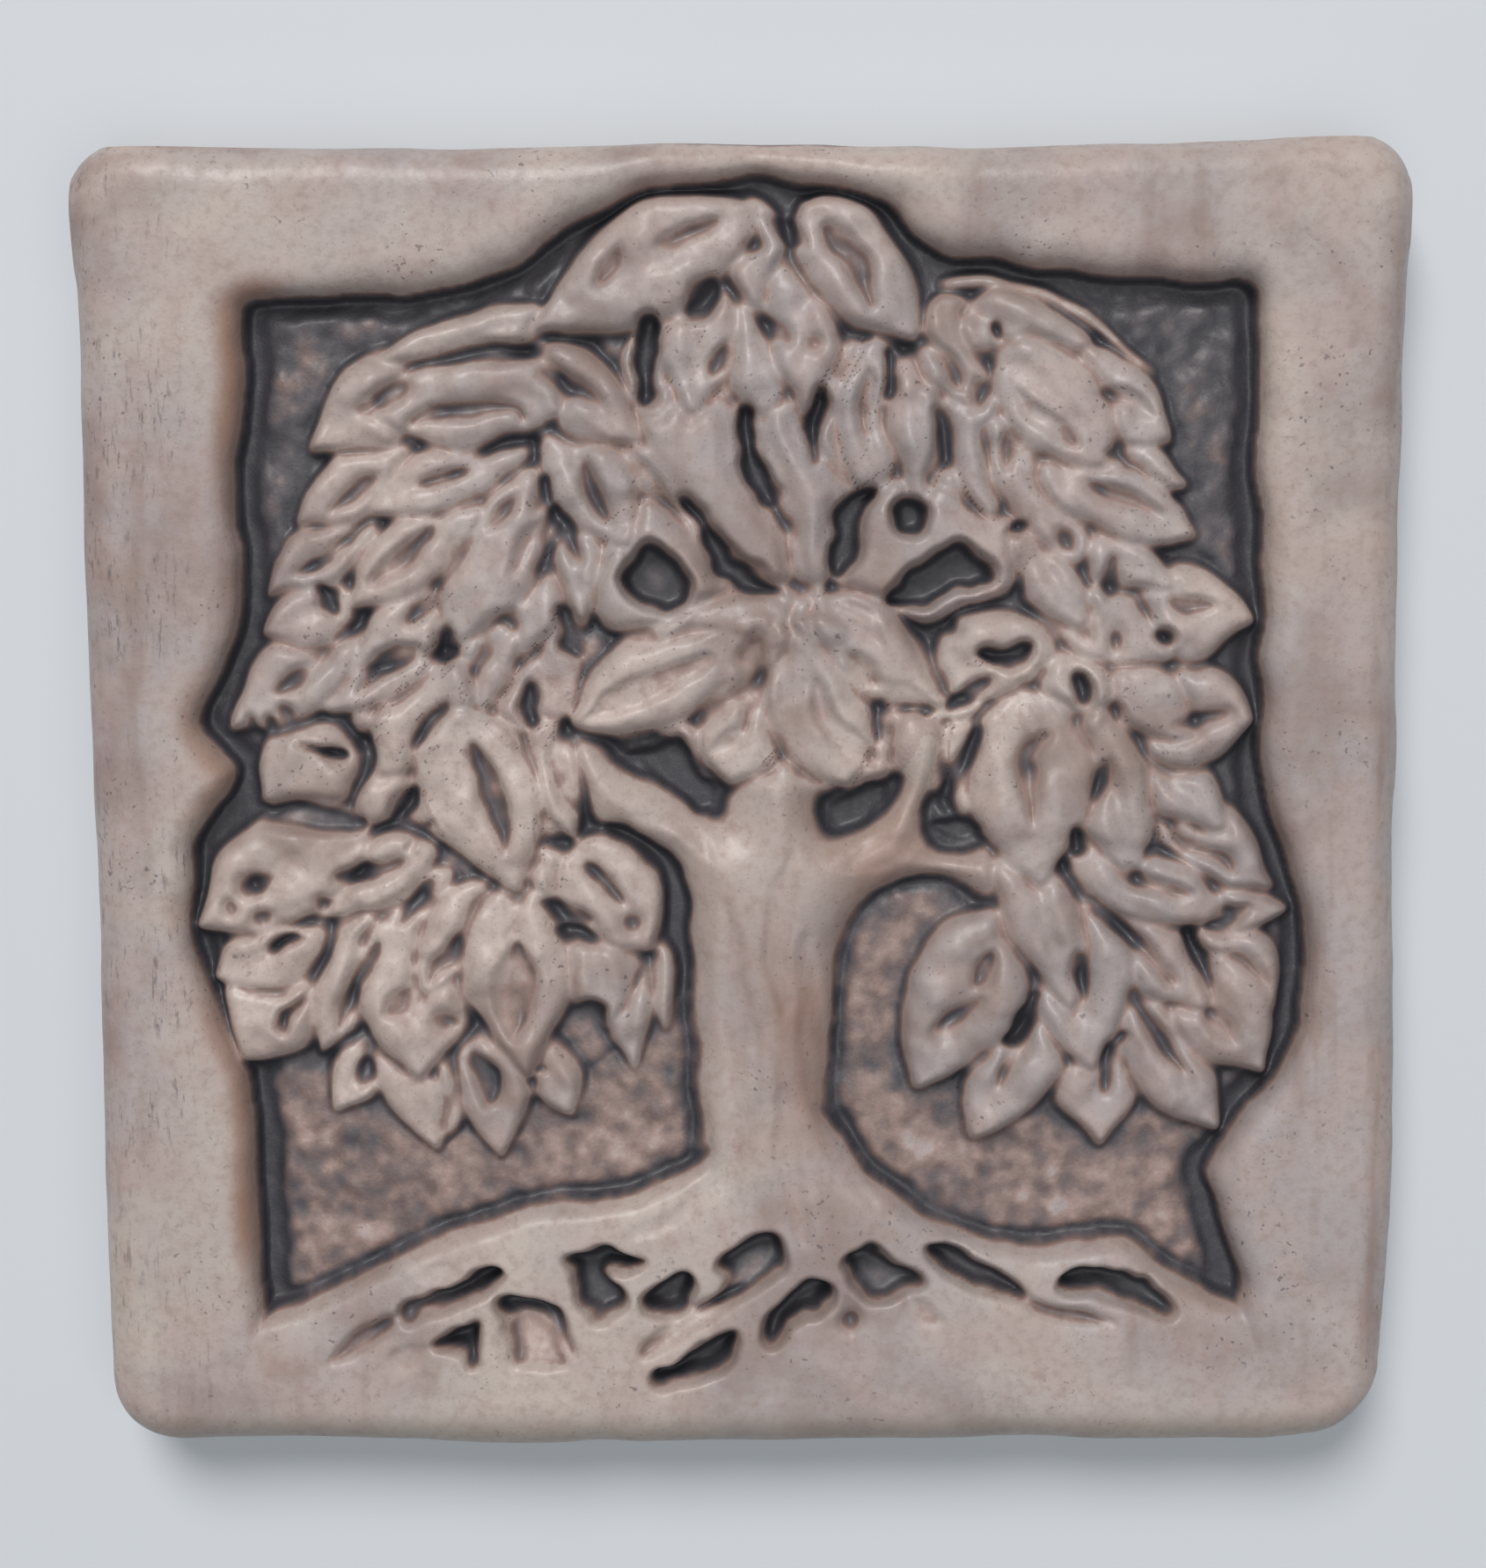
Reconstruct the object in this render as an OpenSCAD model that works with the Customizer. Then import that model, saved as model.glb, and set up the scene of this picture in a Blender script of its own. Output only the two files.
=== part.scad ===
// A square clay relief tile with a spreading tree, modelled as the clay pieces it is built up from.
// Lengths are millimetres. The tile lies on its back: +Z is out of the decorated face, +Y is the
// tree's top and +X is its right. The origin is the middle of the back.

/* [Tile] */
// Width and height of the square tile
tile_side = 102; // [80:1:160]
// Thickness of the plain slab behind the relief
slab_thick = 6; // [4:0.5:10]
// Radius of the tile's four corners, seen from the front
corner_r = 5.5; // [3:0.5:8]
// Height of the border above the slab
border_rise = 3.8; // [2:0.1:5]
// Radius that rounds the border's outer top edge
edge_round = 3; // [1:0.5:3.5]

/* [Relief] */
// Height of the rough ground above the slab
ground_rise = 0.9; // [0.4:0.1:2]
// Height above the slab of the clay bed under the leaves
bed_rise = 1.4; // [0.8:0.1:2.5]
// Height of a leaf's crest above the slab
leaf_rise = 3.5; // [2:0.1:4.5]
// Height of the trunk's crest above the slab
trunk_rise = 4.1; // [2.5:0.1:5]
// Depth of the cut along a leaf's middle
slit_deep = 1.3; // [0.5:0.1:2]

/* [Hanging hole] */
// Diameter of the blind hanging hole in the back
hole_d = 7; // [5:0.5:9]
// Depth of the hanging hole
hole_deep = 4; // [2:0.5:4.5]
// Distance of the hanging hole above the tile's middle
hole_up = 30; // [15:1:38]

/* [Hidden] */
$fn = 48;
half = tile_side / 2;
bed_top = slab_thick + bed_rise;
leaf_top = slab_thick + leaf_rise;
arch = 0.3;         // how far the ball that rounds a leaf's ends stands above its crest
tall = 12;          // taller than any relief, for cutters
root_round = 14;    // radius of a root's rounded back
root_rise = 3.9;    // height of a root's crest above the slab
pit_floor = 1.2;    // height above the slab of the floor of the pits between roots
lap = 0.01;         // how far a cutter passes a face
clay = [0.74, 0.66, 0.60];
shade = [0.45, 0.38, 0.35];
pale = [0.80, 0.72, 0.66];
wood = [0.66, 0.58, 0.53];

// Inner lip of the border, clockwise from the top left corner.
window = [
  [-38.6, 37.5], [-38.5, 39], [-37, 39.3], [-30, 39.8], [-22, 40], [-18, 41], [-15, 43],
  [-12, 45], [-8, 46.8], [-4, 48],
  [0, 48.5], [5, 48], [9, 47], [12, 45.5], [14.5, 43], [17, 41.8], [24, 41], [30, 40.2],
  [37.5, 40.2], [39, 39.8], [39.3, 38], [39.5, 35], [39.3, 30], [39.5, 22], [40, 12], [40, 5],
  [40.5, 0], [42, -4],
  [43.3, -10], [43.6, -15], [43, -19], [41, -22], [38.5, -24.5], [37, -27], [36.7, -30],
  [38, -35], [38.6, -38], [38.8, -43], [38, -44], [-38, -44], [-38.8, -43], [-38.6, -36], [-38.7, -30],
  [-39, -22], [-41, -17], [-42.2, -14], [-43.5, -9], [-43.3, -5], [-42.3, -2], [-40.5, 1],
  [-39, 3.2], [-41, 5.3], [-42, 7.5], [-40, 11.5], [-38.6, 16], [-38.6, 30]];

// Rough ground between the channels.
ground_ul = [[-36.5, 37], [-30, 37.5], [-27.5, 36.5], [-31, 33.8], [-34, 31], [-34.8, 26], [-36.5, 22]];
ground_ur = [[28.5, 37.5], [36, 37.5], [36.5, 30], [36.3, 19.5], [35.2, 19], [35.5, 24], [34.5, 30],
  [31, 34.5]];
ground_ll = [[-35.5, -22], [-36, -34.5], [-31, -35], [-24, -32], [-18, -30], [-10, -28], [-5.5, -27],
  [-5.3, -20], [-8, -21.5], [-12.5, -24.5], [-18, -27], [-26, -28], [-32, -24.5]];
ground_lr = [[8.5, -12], [10, -8], [13, -7.5], [12.5, -12], [11.5, -20], [15, -26], [18, -28.5],
  [26, -27.5], [33.5, -27], [34.5, -30], [34, -33], [28, -32.5], [22, -33], [17, -31.5], [12, -28],
  [9.5, -23], [8.5, -18]];

// Clay beds that the leaves are laid on.
bed_heart_plan = [[-12.5, 6.5], [-10, 10.5], [-8, 13], [0, 13.8], [8, 14.8], [13, 14.2], [15, 9],
  [13, 3.5], [9, 2.8], [5, 3.5], [1.5, 3.2], [-3, 4.2], [-5.5, 5.8], [-10, 5.6]];
bed_crown_plan = [[-15.5, 38.5], [-13, 41], [-9, 44], [-4, 46], [0, 46], [7, 45], [11, 43.5],
  [13, 40], [13, 36], [9, 24.5], [-9, 24.5], [-9.5, 35]];
bed_left_plan = [[-15.5, 38.5], [-22, 37.7], [-29, 33.5], [-31.5, 30], [-31.5, 24], [-35, 18],
  [-36, 12], [-38.5, 7], [-37, 4.5], [-37, 1], [-30, 0.5], [-26.5, -2], [-16, -4.5], [-12.5, 1],
  [-12.5, 6.5], [-10, 10.5], [-8, 15], [-8.5, 22], [-9, 24.5], [-9.5, 35]];
bed_low_left_plan = [[-37.5, -2], [-41.5, -8], [-40, -13], [-36.5, -18.5], [-31, -18], [-30, -21.5],
  [-26, -25], [-20, -25.5], [-15, -22.5], [-9, -19], [-6.5, -16], [-7.3, -10], [-7, -6],
  [-11, -3.5], [-16, -4.5], [-26.5, -2], [-30, -1.6]];
bed_right_plan = [[13, 36], [14, 38], [22, 38], [27, 34.5], [32, 30], [33, 24], [32.5, 19], [37.5, 16],
  [36, 12], [38, 7.5], [36, 3.5], [39, -3], [24, -5], [19.5, -3.5], [15, 3], [15.5, 9], [15, 15],
  [9, 24.5]];
bed_low_right_plan = [[17.5, -7], [14, -12], [13.8, -20], [18.5, -25], [25, -22], [28, -25],
  [34.5, -24.5], [39.8, -20], [41, -14], [40.5, -7], [39, -3], [24, -5]];

// Pieces of wood: outline, then the line its rounded back runs along, x1, y1, x2, y2 and its radius.
trunk_plan = [[-4.5, -29], [-3.9, -22], [-3.9, -15], [-5, -8], [-6.2, -5], [-4, -1], [-1.5, -0.5],
  [-1.2, 1.5], [1.5, 2.5], [6, 1.5], [7.3, -1.8], [8.5, -1.4], [9.5, -5], [8, -10], [6.8, -16],
  [7, -22], [8.8, -27], [10, -29], [3, -31]];
bough_low_left_plan = [[-3, -6], [-6.5, -5], [-10, -2.5], [-14.5, 3.5], [-13, 6], [-9.5, 3.2],
  [-5, 1.2], [-1.5, -1], [-1.2, -4]];
bough_low_right_plan = [[5, -3], [7.3, -1.8], [9.5, -1], [12.3, 2], [15.8, 5.5], [17, 3],
  [14.5, -0.8], [15.5, -3.4], [18, -3.3], [19, -2], [22, -5], [23, -8.5], [17.5, -7], [14, -5.3],
  [10.3, -6.6], [8, -8]];
bough_fork_plan = [[-1.5, 16.5], [1.5, 17], [3.5, 16.7], [7.4, 18], [11, 16], [12, 14.5], [8, 15.5],
  [3, 15], [-3, 14]];
bough_up_left_plan = [[-0.5, 18.5], [-3, 22], [-4.8, 24.2], [-6, 27], [-8, 31], [-5.5, 32], [-2, 29],
  [0.5, 31], [0.5, 28], [1.5, 25.5], [3, 23], [4.3, 17.5], [1.5, 17.2]];
bough_up_right_plan = [[4.5, 17.4], [3.2, 23], [2, 26.5], [1.2, 31], [3.8, 29], [6.3, 26], [8.5, 24],
  [7.8, 22], [7.2, 18.3]];
bough_side_left_plan = [[-1.8, 16.5], [-0.6, 18.2], [-2.6, 21.3], [-5, 23.6], [-8.3, 24], [-8, 21],
  [-5, 18.5], [-4.8, 16], [-7, 15.3], [-9.3, 16.3], [-9, 19], [-11.5, 20.5], [-12.7, 17], [-11, 14],
  [-8.5, 12], [-3, 14.5]];
bough_side_right_plan = [[7.6, 18.2], [8.3, 22.4], [9.6, 24.5], [12, 25], [11.8, 19], [10.8, 16.2],
  [12, 15.7], [15, 15.4], [19, 17.5], [19.5, 18.5], [18.6, 20.3], [22.5, 21.5], [21.5, 17.5],
  [16.5, 14.4], [12.2, 14.7], [11.2, 16]];
root_left_plan = [[-38.5, -39.2], [-31, -37.2], [-24, -33.7], [-16, -31.3], [-14.6, -35.6],
  [-20, -38.8], [-20.9, -40.6], [-27, -43.8], [-38.5, -43.8]];
root_mid_left_plan = [[-15.8, -31.3], [-8, -29.7], [-4.3, -28.9], [-1, -33], [-2.3, -36], [-6.5, -39],
  [-10, -43.8], [-26.5, -43.8], [-20.7, -40.6], [-19.8, -38.8], [-14.4, -35.6]];
root_mid_plan = [[3, -31.2], [9.9, -29.2], [12.5, -31], [12, -35], [10, -39], [10, -43.8],
  [-9.8, -43.8], [-6.3, -39], [-2.1, -36], [-0.8, -33], [-4.3, -29.2]];
root_right_plan = [[12.7, -31], [18, -33.9], [22, -34.7], [29, -34], [33, -36.5], [36, -38.2],
  [38.4, -38.2], [38.4, -43.8], [10.2, -43.8], [10.2, -39], [12.2, -35]];

// Pits and cuts between the roots, each a rounded bar: x1, y1, x2, y2, width.
root_pits = [[-19.8, -36.6, -26.5, -39.3, 1.4], [-21.5, -41.6, -23.5, -42.1, 1.6],
  [-19, -39.2, -16, -38.9, 1.4], [-16, -38.9, -14.2, -42.3, 1.6], [-13.8, -36, -9, -35.8, 1.2],
  [-12.2, -36, -11, -39.3, 2.2], [-5.4, -37.4, -6.9, -39.2, 1.8], [-1.5, -36, 1.8, -35, 1.6],
  [-2, -38.4, -7.5, -42.2, 1.2], [-1.5, -42, -6, -45, 1.6], [5.2, -38, 2.6, -41.3, 2],
  [8, -35.8, 12.6, -37.4, 2.2], [14.5, -35.1, 20, -37.8, 1.4], [25.7, -37.4, 32.3, -39.3, 1.2]];

// Leaves: x, y of the middle, direction of the tip in degrees, length, width, crest above the rest.
heart_1 = [[-5, 11, 208, 18, 7, 0.5]];
heart_2 = [[0.5, 8.7, 259, 13.5, 6.5, 0.3]];
heart_3 = [[6, 9, 285, 13.5, 7, 0.4]];
heart_4 = [[10.6, 12.4, 319, 12, 5, 0.2]];
crown_1 = [[-7.2, 41.5, 208, 17.5, 7, 0.4], [-3.2, 35.5, 262, 10, 4.5, 0]];
crown_2 = [[1.5, 42.3, 280, 8, 3.6, 0.2], [1.6, 35.2, 272, 8, 5, 0]];
crown_3 = [[9.2, 41, 308, 12.5, 6, 0.4], [4.9, 37, 270, 12, 4, 0.1]];
left_1 = [[-19, 36.7, 188, 12, 2.8, 0], [-21, 31.8, 183, 14, 6, 0.1]];
left_2 = [[-28.3, 31.7, 213, 10.5, 5.5, 0], [-22.5, 26.3, 205, 12, 4.5, 0.1]];
left_3 = [[-29.5, 25.7, 215, 9.5, 4.5, 0], [-25, 20.5, 222, 12, 5, 0.1]];
left_4 = [[-32.3, 20, 213, 9, 4.2, 0], [-33.5, 15.5, 205, 6.5, 4.5, 0]];
left_5 = [[-19.5, 19.5, 245, 14, 5, 0.2], [-25.5, 14.8, 225, 9, 5, 0.1]];
left_6 = [[-35, 10.2, 220, 11, 5, 0], [-28.3, 11.2, 215, 10, 5, 0.1]];
left_7 = [[-34.3, 3.2, 215, 8.5, 6.5, 0], [-28.5, 2.4, 240, 8, 4, 0]];
left_8 = [[-25, 7.4, 230, 10, 5, 0], [-21, 10.5, 235, 9, 4, 0]];
inner_1 = [[-12.5, 32, 325, 10, 5, 0.1], [-11.8, 26, 300, 11, 5, 0]];
inner_2 = [[-16, 23, 252, 11, 3.4, 0], [-17.5, 14.5, 240, 9, 4, 0], [-13, 20, 275, 9, 3, 0]];
inner_3 = [[-20.3, 1, 290, 14, 8, 0.2], [-14.6, 2.4, 285, 8, 3.4, 0]];
low_left_1 = [[-36.3, -4.8, 210, 14.5, 7.5, 0.2]];
low_left_2 = [[-31, -5.7, 205, 13, 4.5, 0.1], [-37.3, -11, 205, 9, 5.5, 0]];
low_left_3 = [[-28.3, -9, 218, 12, 4.5, 0.1], [-36.8, -15, 240, 10, 7, 0]];
low_left_4 = [[-25.5, -14.5, 268, 13, 8, 0.2], [-30.5, -13.7, 240, 11, 4.5, 0]];
low_left_5 = [[-17.8, -13.2, 274, 14.5, 7, 0.3], [-22.5, -9.5, 245, 9, 4, 0]];
under_left = [[-30.5, -20.5, 240, 6.5, 3.4, -0.6], [-26.3, -22, 290, 10, 4, -0.5],
  [-23.2, -22, 255, 8, 3, -0.6], [-20, -22, 275, 9.5, 4.4, -0.5], [-15.8, -20.6, 300, 7, 3.6, -0.6]];
near_trunk = [[-10.2, -6.8, 305, 10, 6.5, 0.2], [-13.8, -6.6, 310, 8, 4.5, 0],
  [-11.2, -12.6, 280, 8.5, 6, 0], [-9, -15.3, 270, 10, 3.4, 0]];
right_1 = [[22.5, 36, 340, 10, 4.8, 0], [16.5, 35.5, 290, 8, 4.6, 0.1]];
right_2 = [[24.6, 30.5, 318, 11, 6, 0.2], [29.3, 31.2, 322, 9, 5, 0]];
right_3 = [[29.6, 26.6, 330, 9, 4, 0], [18.8, 29, 277, 11, 4.4, 0]];
right_4 = [[29, 23.6, 332, 12, 4.6, 0.1], [23, 25, 298, 12, 4.6, 0]];
right_5 = [[13.8, 30, 270, 11, 4, 0], [10, 30, 266, 11, 4.6, 0]];
right_6 = [[28, 20, 328, 10, 4.5, 0], [27.5, 15, 330, 11, 5, 0.1]];
edge_1 = [[34.3, 15, 352, 9, 6, 0], [34.8, 7.6, 355, 8.5, 6.8, 0]];
edge_2 = [[36, -2.4, 318, 11, 5, 0.1], [33, 2.6, 320, 9, 4.6, 0]];
edge_3 = [[38.3, -7.9, 355, 6.5, 3.4, 0], [38.6, -12, 305, 8, 4.4, 0]];
mid_right_1 = [[19.8, 11.8, 15, 9, 6, 0.1], [18.3, 5.5, 265, 10, 4, 0]];
mid_right_2 = [[25.6, 9.6, 285, 8.5, 4.8, 0], [30.3, 9, 325, 9, 4.6, 0]];
mid_right_3 = [[22.3, 1.5, 275, 14, 8, 0.3], [28.6, 1, 285, 12.5, 5, 0]];
low_right_1 = [[31.8, -6.3, 338, 12, 4.8, 0.1], [23.3, -9.6, 288, 13, 4.8, 0.2]];
low_right_2 = [[30.5, -10.8, 315, 14, 5.5, 0.1]];
low_right_3 = [[26.5, -14, 275, 12, 6.4, 0.3]];
low_right_4 = [[17, -15, 242, 14, 7.4, 0.2]];
low_right_5 = [[20.8, -21, 240, 11, 6.3, -0.1], [28, -21.6, 270, 9, 5.6, -0.2]];
low_right_6 = [[33.5, -20.3, 300, 12, 5.5, -0.1], [37.6, -16.6, 310, 10, 6, 0]];

// Cuts drawn in the leaves with a narrow tool, each a rounded bar: x1, y1, x2, y2, width.
slits = [[-12, 7.5, -4, 11.3, 0.8], [6.2, 9.3, 8.6, 5, 0.7], [8.3, 12.2, 12, 10, 0.8],
  [-1.5, 45.2, -5.8, 43.2, 0.6], [-9, 43.2, -10.6, 40.8, 0.8], [-2, 40.4, -3.6, 38, 1.4],
  [7, 44.3, 10.2, 39.2, 0.9], [-1.3, 35.5, -2.3, 33.5, 0.8], [-28, 31.6, -25.8, 32.8, 1],
  [-24.3, 31, -17.2, 31.1, 0.9], [-20, 28, -16.4, 28.5, 1], [-31, 23.9, -27.8, 26.2, 0.8],
  [-24.2, 25.5, -21, 26.6, 0.8], [-33.8, 18.5, -29.2, 22, 0.8], [-28, 18, -23.6, 22.2, 0.9],
  [-17.3, 24.3, -19.2, 21.8, 0.8], [-32.4, 16, -31.4, 16.8, 1.4], [-25.6, 15, -23.8, 16.5, 1],
  [-35.4, 9.6, -31.8, 12.3, 1.1], [-29.4, 9.8, -25.4, 12.6, 1.3], [-25.2, 5.6, -23, 8.2, 0.9],
  [-34.5, 5.3, -31.4, 4.6, 1.6], [-27, 0, -25.6, 2, 0.8], [-15, 33.7, -11.5, 31.8, 0.8],
  [-12, 26.5, -10.6, 23.2, 0.9], [-18, 15.5, -20.5, 11, 0.9], [-20.6, 4.4, -18.9, -2.6, 1.4],
  [-38.6, -5.4, -37, -5, 1], [-31.5, -5.2, -27, -4.3, 0.9], [-26.6, -8.4, -24.6, -6, 0.9],
  [-37.4, -10.7, -34.4, -10.3, 1.2], [-31.5, -16.8, -28.6, -10.8, 0.9], [-27.4, -15.4, -26, -14, 0.9],
  [-36.3, -16.3, -34, -14.2, 1.5], [-24, -13, -22.6, -10, 0.9], [-18.5, -16.5, -18.1, -11.5, 2.4],
  [-30.4, -21.4, -29.6, -19.6, 0.8], [-21.4, -19.4, -20.4, -22.6, 1.4], [-12.4, -4.2, -9.6, -7, 0.9],
  [-15.7, -7.3, -12.1, -8.7, 0.8], [-14.4, -9.5, -12, -10.4, 0.8], [20, 36.8, 21.6, 35, 1],
  [13.8, 36, 16.2, 34.4, 0.8], [28.2, 31.9, 31.6, 30.2, 0.8], [21.6, 31.3, 26, 28.2, 0.9],
  [28, 27.6, 29.3, 27.1, 0.8], [26.6, 25.2, 32, 22.6, 0.8], [20.3, 28.5, 20.5, 26.6, 0.8],
  [15.5, 29.5, 14.6, 25.5, 0.9], [9.7, 33, 9.8, 29.4, 0.9], [24.6, 21.4, 25.3, 20, 0.8],
  [31.9, 13.2, 33.1, 13.4, 1.8], [33.5, 7, 37, 7.2, 1], [32.8, -1.2, 37.5, -4, 0.9],
  [36.3, -9.2, 38.9, -8, 0.7], [18.4, 11.9, 21.6, 11.6, 1.3], [16.3, 8, 18.7, 9.8, 0.7],
  [25.6, 10.3, 26.3, 8.5, 1.4], [28.4, 7.8, 29.2, 7.8, 1], [21.5, 4, 22.2, -0.6, 1],
  [28, 3.5, 27, 0.8, 1], [30.3, -5, 34.4, -6.8, 0.9], [27.2, -8.2, 32.6, -13.4, 1.1],
  [25.7, -11.6, 26.3, -14.4, 1], [19.3, -11.8, 18.1, -13, 1.4], [18.3, -14.7, 15.3, -17.1, 0.8],
  [22, -17, 20.4, -21.6, 0.9], [28.2, -18.6, 28.4, -22.2, 0.9], [31, -16.2, 34.3, -20.6, 1.1],
  [36.2, -16.6, 38.1, -18.2, 1.2], [34.6, -10.4, 36, -13.8, 0.8]];

// Wells that go down to the slab between leaves, boughs and bed.
wells = [[-7.2, 32.5, -7, 37, 2.2], [-14.2, 15, -12.6, 12.4, 2], [-16.8, 6.6, -16.8, 9.6, 2.2],
  [-12.2, -15.8, -12, -16.6, 2.6], [-24.6, -2.2, -25.6, -0.8, 1.2], [-36.5, -0.7, -30.4, -0.8, 1.3],
  [25.6, -1.4, 26.2, -4, 1.4], [-14.4, 23.4, -17.6, 19.2, 1], [11.6, 34.8, 11.6, 32, 1.4],
  [22.5, -15, 20.8, -18, 1.2], [13, 22.3, 12.8, 22.2, 2.8], [28, -4.6, 29.5, -5, 1]];

// In laying order, the top leaves first: a leaf is trimmed where one laid over it lies.
SPRIGS = [heart_1, heart_4, heart_3, heart_2, crown_1, crown_3, crown_2, inner_3, low_left_5,
  low_left_4, low_left_1, low_left_2, low_left_3, near_trunk, under_left, left_1,
  inner_1, left_2, left_3, left_5, left_4, left_6, left_8, left_7, inner_2, mid_right_3,
  low_right_1, low_right_3, low_right_2, low_right_4, low_right_6, low_right_5, right_2, right_1,
  right_4, right_3, right_5, right_6, mid_right_1, mid_right_2, edge_1, edge_2, edge_3];
SPRIG_NAMES = ["leaf_heart_1", "leaf_heart_4", "leaf_heart_3", "leaf_heart_2", "leaves_crown_1",
  "leaves_crown_3", "leaves_crown_2", "leaves_inner_3", "leaves_low_left_5", "leaves_low_left_4",
  "leaf_low_left_1", "leaves_low_left_2", "leaves_low_left_3", "leaves_near_trunk", "leaves_under_left",
  "leaves_left_1", "leaves_inner_1", "leaves_left_2",
  "leaves_left_3", "leaves_left_5", "leaves_left_4", "leaves_left_6", "leaves_left_8",
  "leaves_left_7", "leaves_inner_2", "leaves_mid_right_3", "leaves_low_right_1",
  "leaf_low_right_3", "leaf_low_right_2", "leaf_low_right_4", "leaves_low_right_6",
  "leaves_low_right_5", "leaves_right_2", "leaves_right_1", "leaves_right_4", "leaves_right_3",
  "leaves_right_5", "leaves_right_6", "leaves_mid_right_1", "leaves_mid_right_2",
  "leaves_edge_1", "leaves_edge_2", "leaves_edge_3"];

// A plan with its corners cut twice, which rounds an outline laid out by hand.
function cut(p) = [for (i = [0:len(p) - 1]) let (q = p[(i + 1) % len(p)])
  each [0.75 * p[i] + 0.25 * q, 0.25 * p[i] + 0.75 * q]];

// Whether two leaves lie close enough to touch.
function meet(a, b) = norm([a[0] - b[0], a[1] - b[1]]) < (a[3] + b[3]) / 2;

// Whether a bar's middle lies within a leaf's reach.
function crosses(a, s) = norm([a[0] - (s[0] + s[2]) / 2, a[1] - (s[1] + s[3]) / 2])
  < a[3] / 2 + norm([s[0] - s[2], s[1] - s[3]]) / 2;

module plan(points) {
  polygon(cut(points));
}

module slice(low, high) {
  translate([0, 0, low]) linear_extrude(height = high - low) children();
}

module bar(s) {
  long = norm([s[2] - s[0], s[3] - s[1]]);
  translate([s[0], s[1]]) rotate(atan2(s[3] - s[1], s[2] - s[0])) {
    translate([0, -s[4] / 2]) square([long, s[4]]);
    circle(d = s[4]);
    translate([long, 0]) circle(d = s[4]);
  }
}

// A leaf seen from above: two arcs that meet at its base and tip.
module almond(a) {
  reach = (a[3] * a[3] + a[4] * a[4]) / (4 * a[4]);
  translate([a[0], a[1]]) rotate(a[2]) intersection() {
    translate([0, reach - a[4] / 2]) circle(r = reach, $fn = 96);
    translate([0, a[4] / 2 - reach]) circle(r = reach, $fn = 96);
  }
}

// One leaf: its plan, rounded over by a cylinder along it and a ball over it.
module leaf(a) {
  crest = leaf_top + a[5];
  across = 0.8 * a[4];
  along = 1.2 * a[3];
  intersection() {
    slice(bed_top, tall) almond(a);
    translate([a[0], a[1], crest - across]) rotate([0, 90, a[2]])
      cylinder(r = across, h = 2 * a[3], center = true);
    translate([a[0], a[1], crest + arch - along]) sphere(r = along, $fn = 120);
  }
}

module sprig(k) {
  color(k % 2 == 0 ? clay : pale) difference() {
    for (a = SPRIGS[k]) leaf(a);
    for (a = SPRIGS[k], s = slits) if (crosses(a, s)) slice(leaf_top - slit_deep, tall) bar(s);
    for (a = SPRIGS[k], s = wells) if (crosses(a, s)) slice(slab_thick, tall) bar(s);
    if (k > 0) slice(bed_top - 1, tall) for (j = [0:k - 1], b = SPRIGS[j])
      if (max([for (a = SPRIGS[k]) meet(a, b) ? 1 : 0]) > 0) almond(b);
  }
}

// Whether a leaf lies within reach of an outline.
function over(a, points) = min([for (p = points) norm([a[0] - p[0], a[1] - p[1]])]) < a[3] / 2 + 2;

// A piece of wood: its plan, rounded over by a cylinder that lies along it, under the leaves.
module stick(points, x, y, turn, round_r, crest) {
  color(wood) difference() {
    intersection() {
      slice(slab_thick, tall) plan(points);
      translate([x, y, slab_thick + crest - round_r]) rotate([0, 90, turn])
        cylinder(r = round_r, h = 2 * tile_side, center = true, $fn = 180);
    }
    for (s = SPRIGS, a = s) if (over(a, points)) slice(bed_top, tall) almond(a);
  }
}

// A root: a piece of wood with the pits cut in it.
module root(points, x, y, turn) {
  difference() {
    stick(points, x, y, turn, root_round, root_rise);
    for (s = root_pits) slice(slab_thick + pit_floor, tall) bar(s);
  }
}

// The outer edge of the tile, as high as it stands at its sides, with rounded corners.
module tile_plan() {
  square([tile_side - 2 * corner_r, tile_side], center = true);
  square([tile_side, tile_side - 2 * corner_r], center = true);
  for (x = [-1, 1], y = [-1, 1])
    translate([x * (half - corner_r), y * (half - corner_r)]) circle(r = corner_r);
}

// The border's outer edge in section, from the corner's centre outwards.
module edge_section() {
  square([corner_r - edge_round, border_rise]);
  square([corner_r, border_rise - edge_round]);
  intersection() {
    translate([corner_r - edge_round, border_rise - edge_round]) circle(r = edge_round);
    square([corner_r, border_rise]);
  }
}

module slab() {
  color(clay) difference() {
    slice(0, slab_thick) tile_plan();
    translate([0, hole_up, -lap]) cylinder(d = hole_d, h = hole_deep + lap);
  }
}

module border() {
  inner = half - corner_r;
  color(clay) difference() {
    translate([0, 0, slab_thick]) union() {
      translate([-inner, -inner, 0]) cube([2 * inner, 2 * inner, border_rise]);
      for (q = [0:3]) rotate(90 * q) {
        translate([inner, inner, 0]) rotate([90, 0, 0])
          linear_extrude(height = 2 * inner) edge_section();
        translate([inner, inner, 0]) rotate_extrude(angle = 90) edge_section();
      }
    }
    slice(slab_thick - lap, tall) plan(window);
  }
}

module ground(points) {
  color(shade) slice(slab_thick, slab_thick + ground_rise) plan(points);
}

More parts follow.
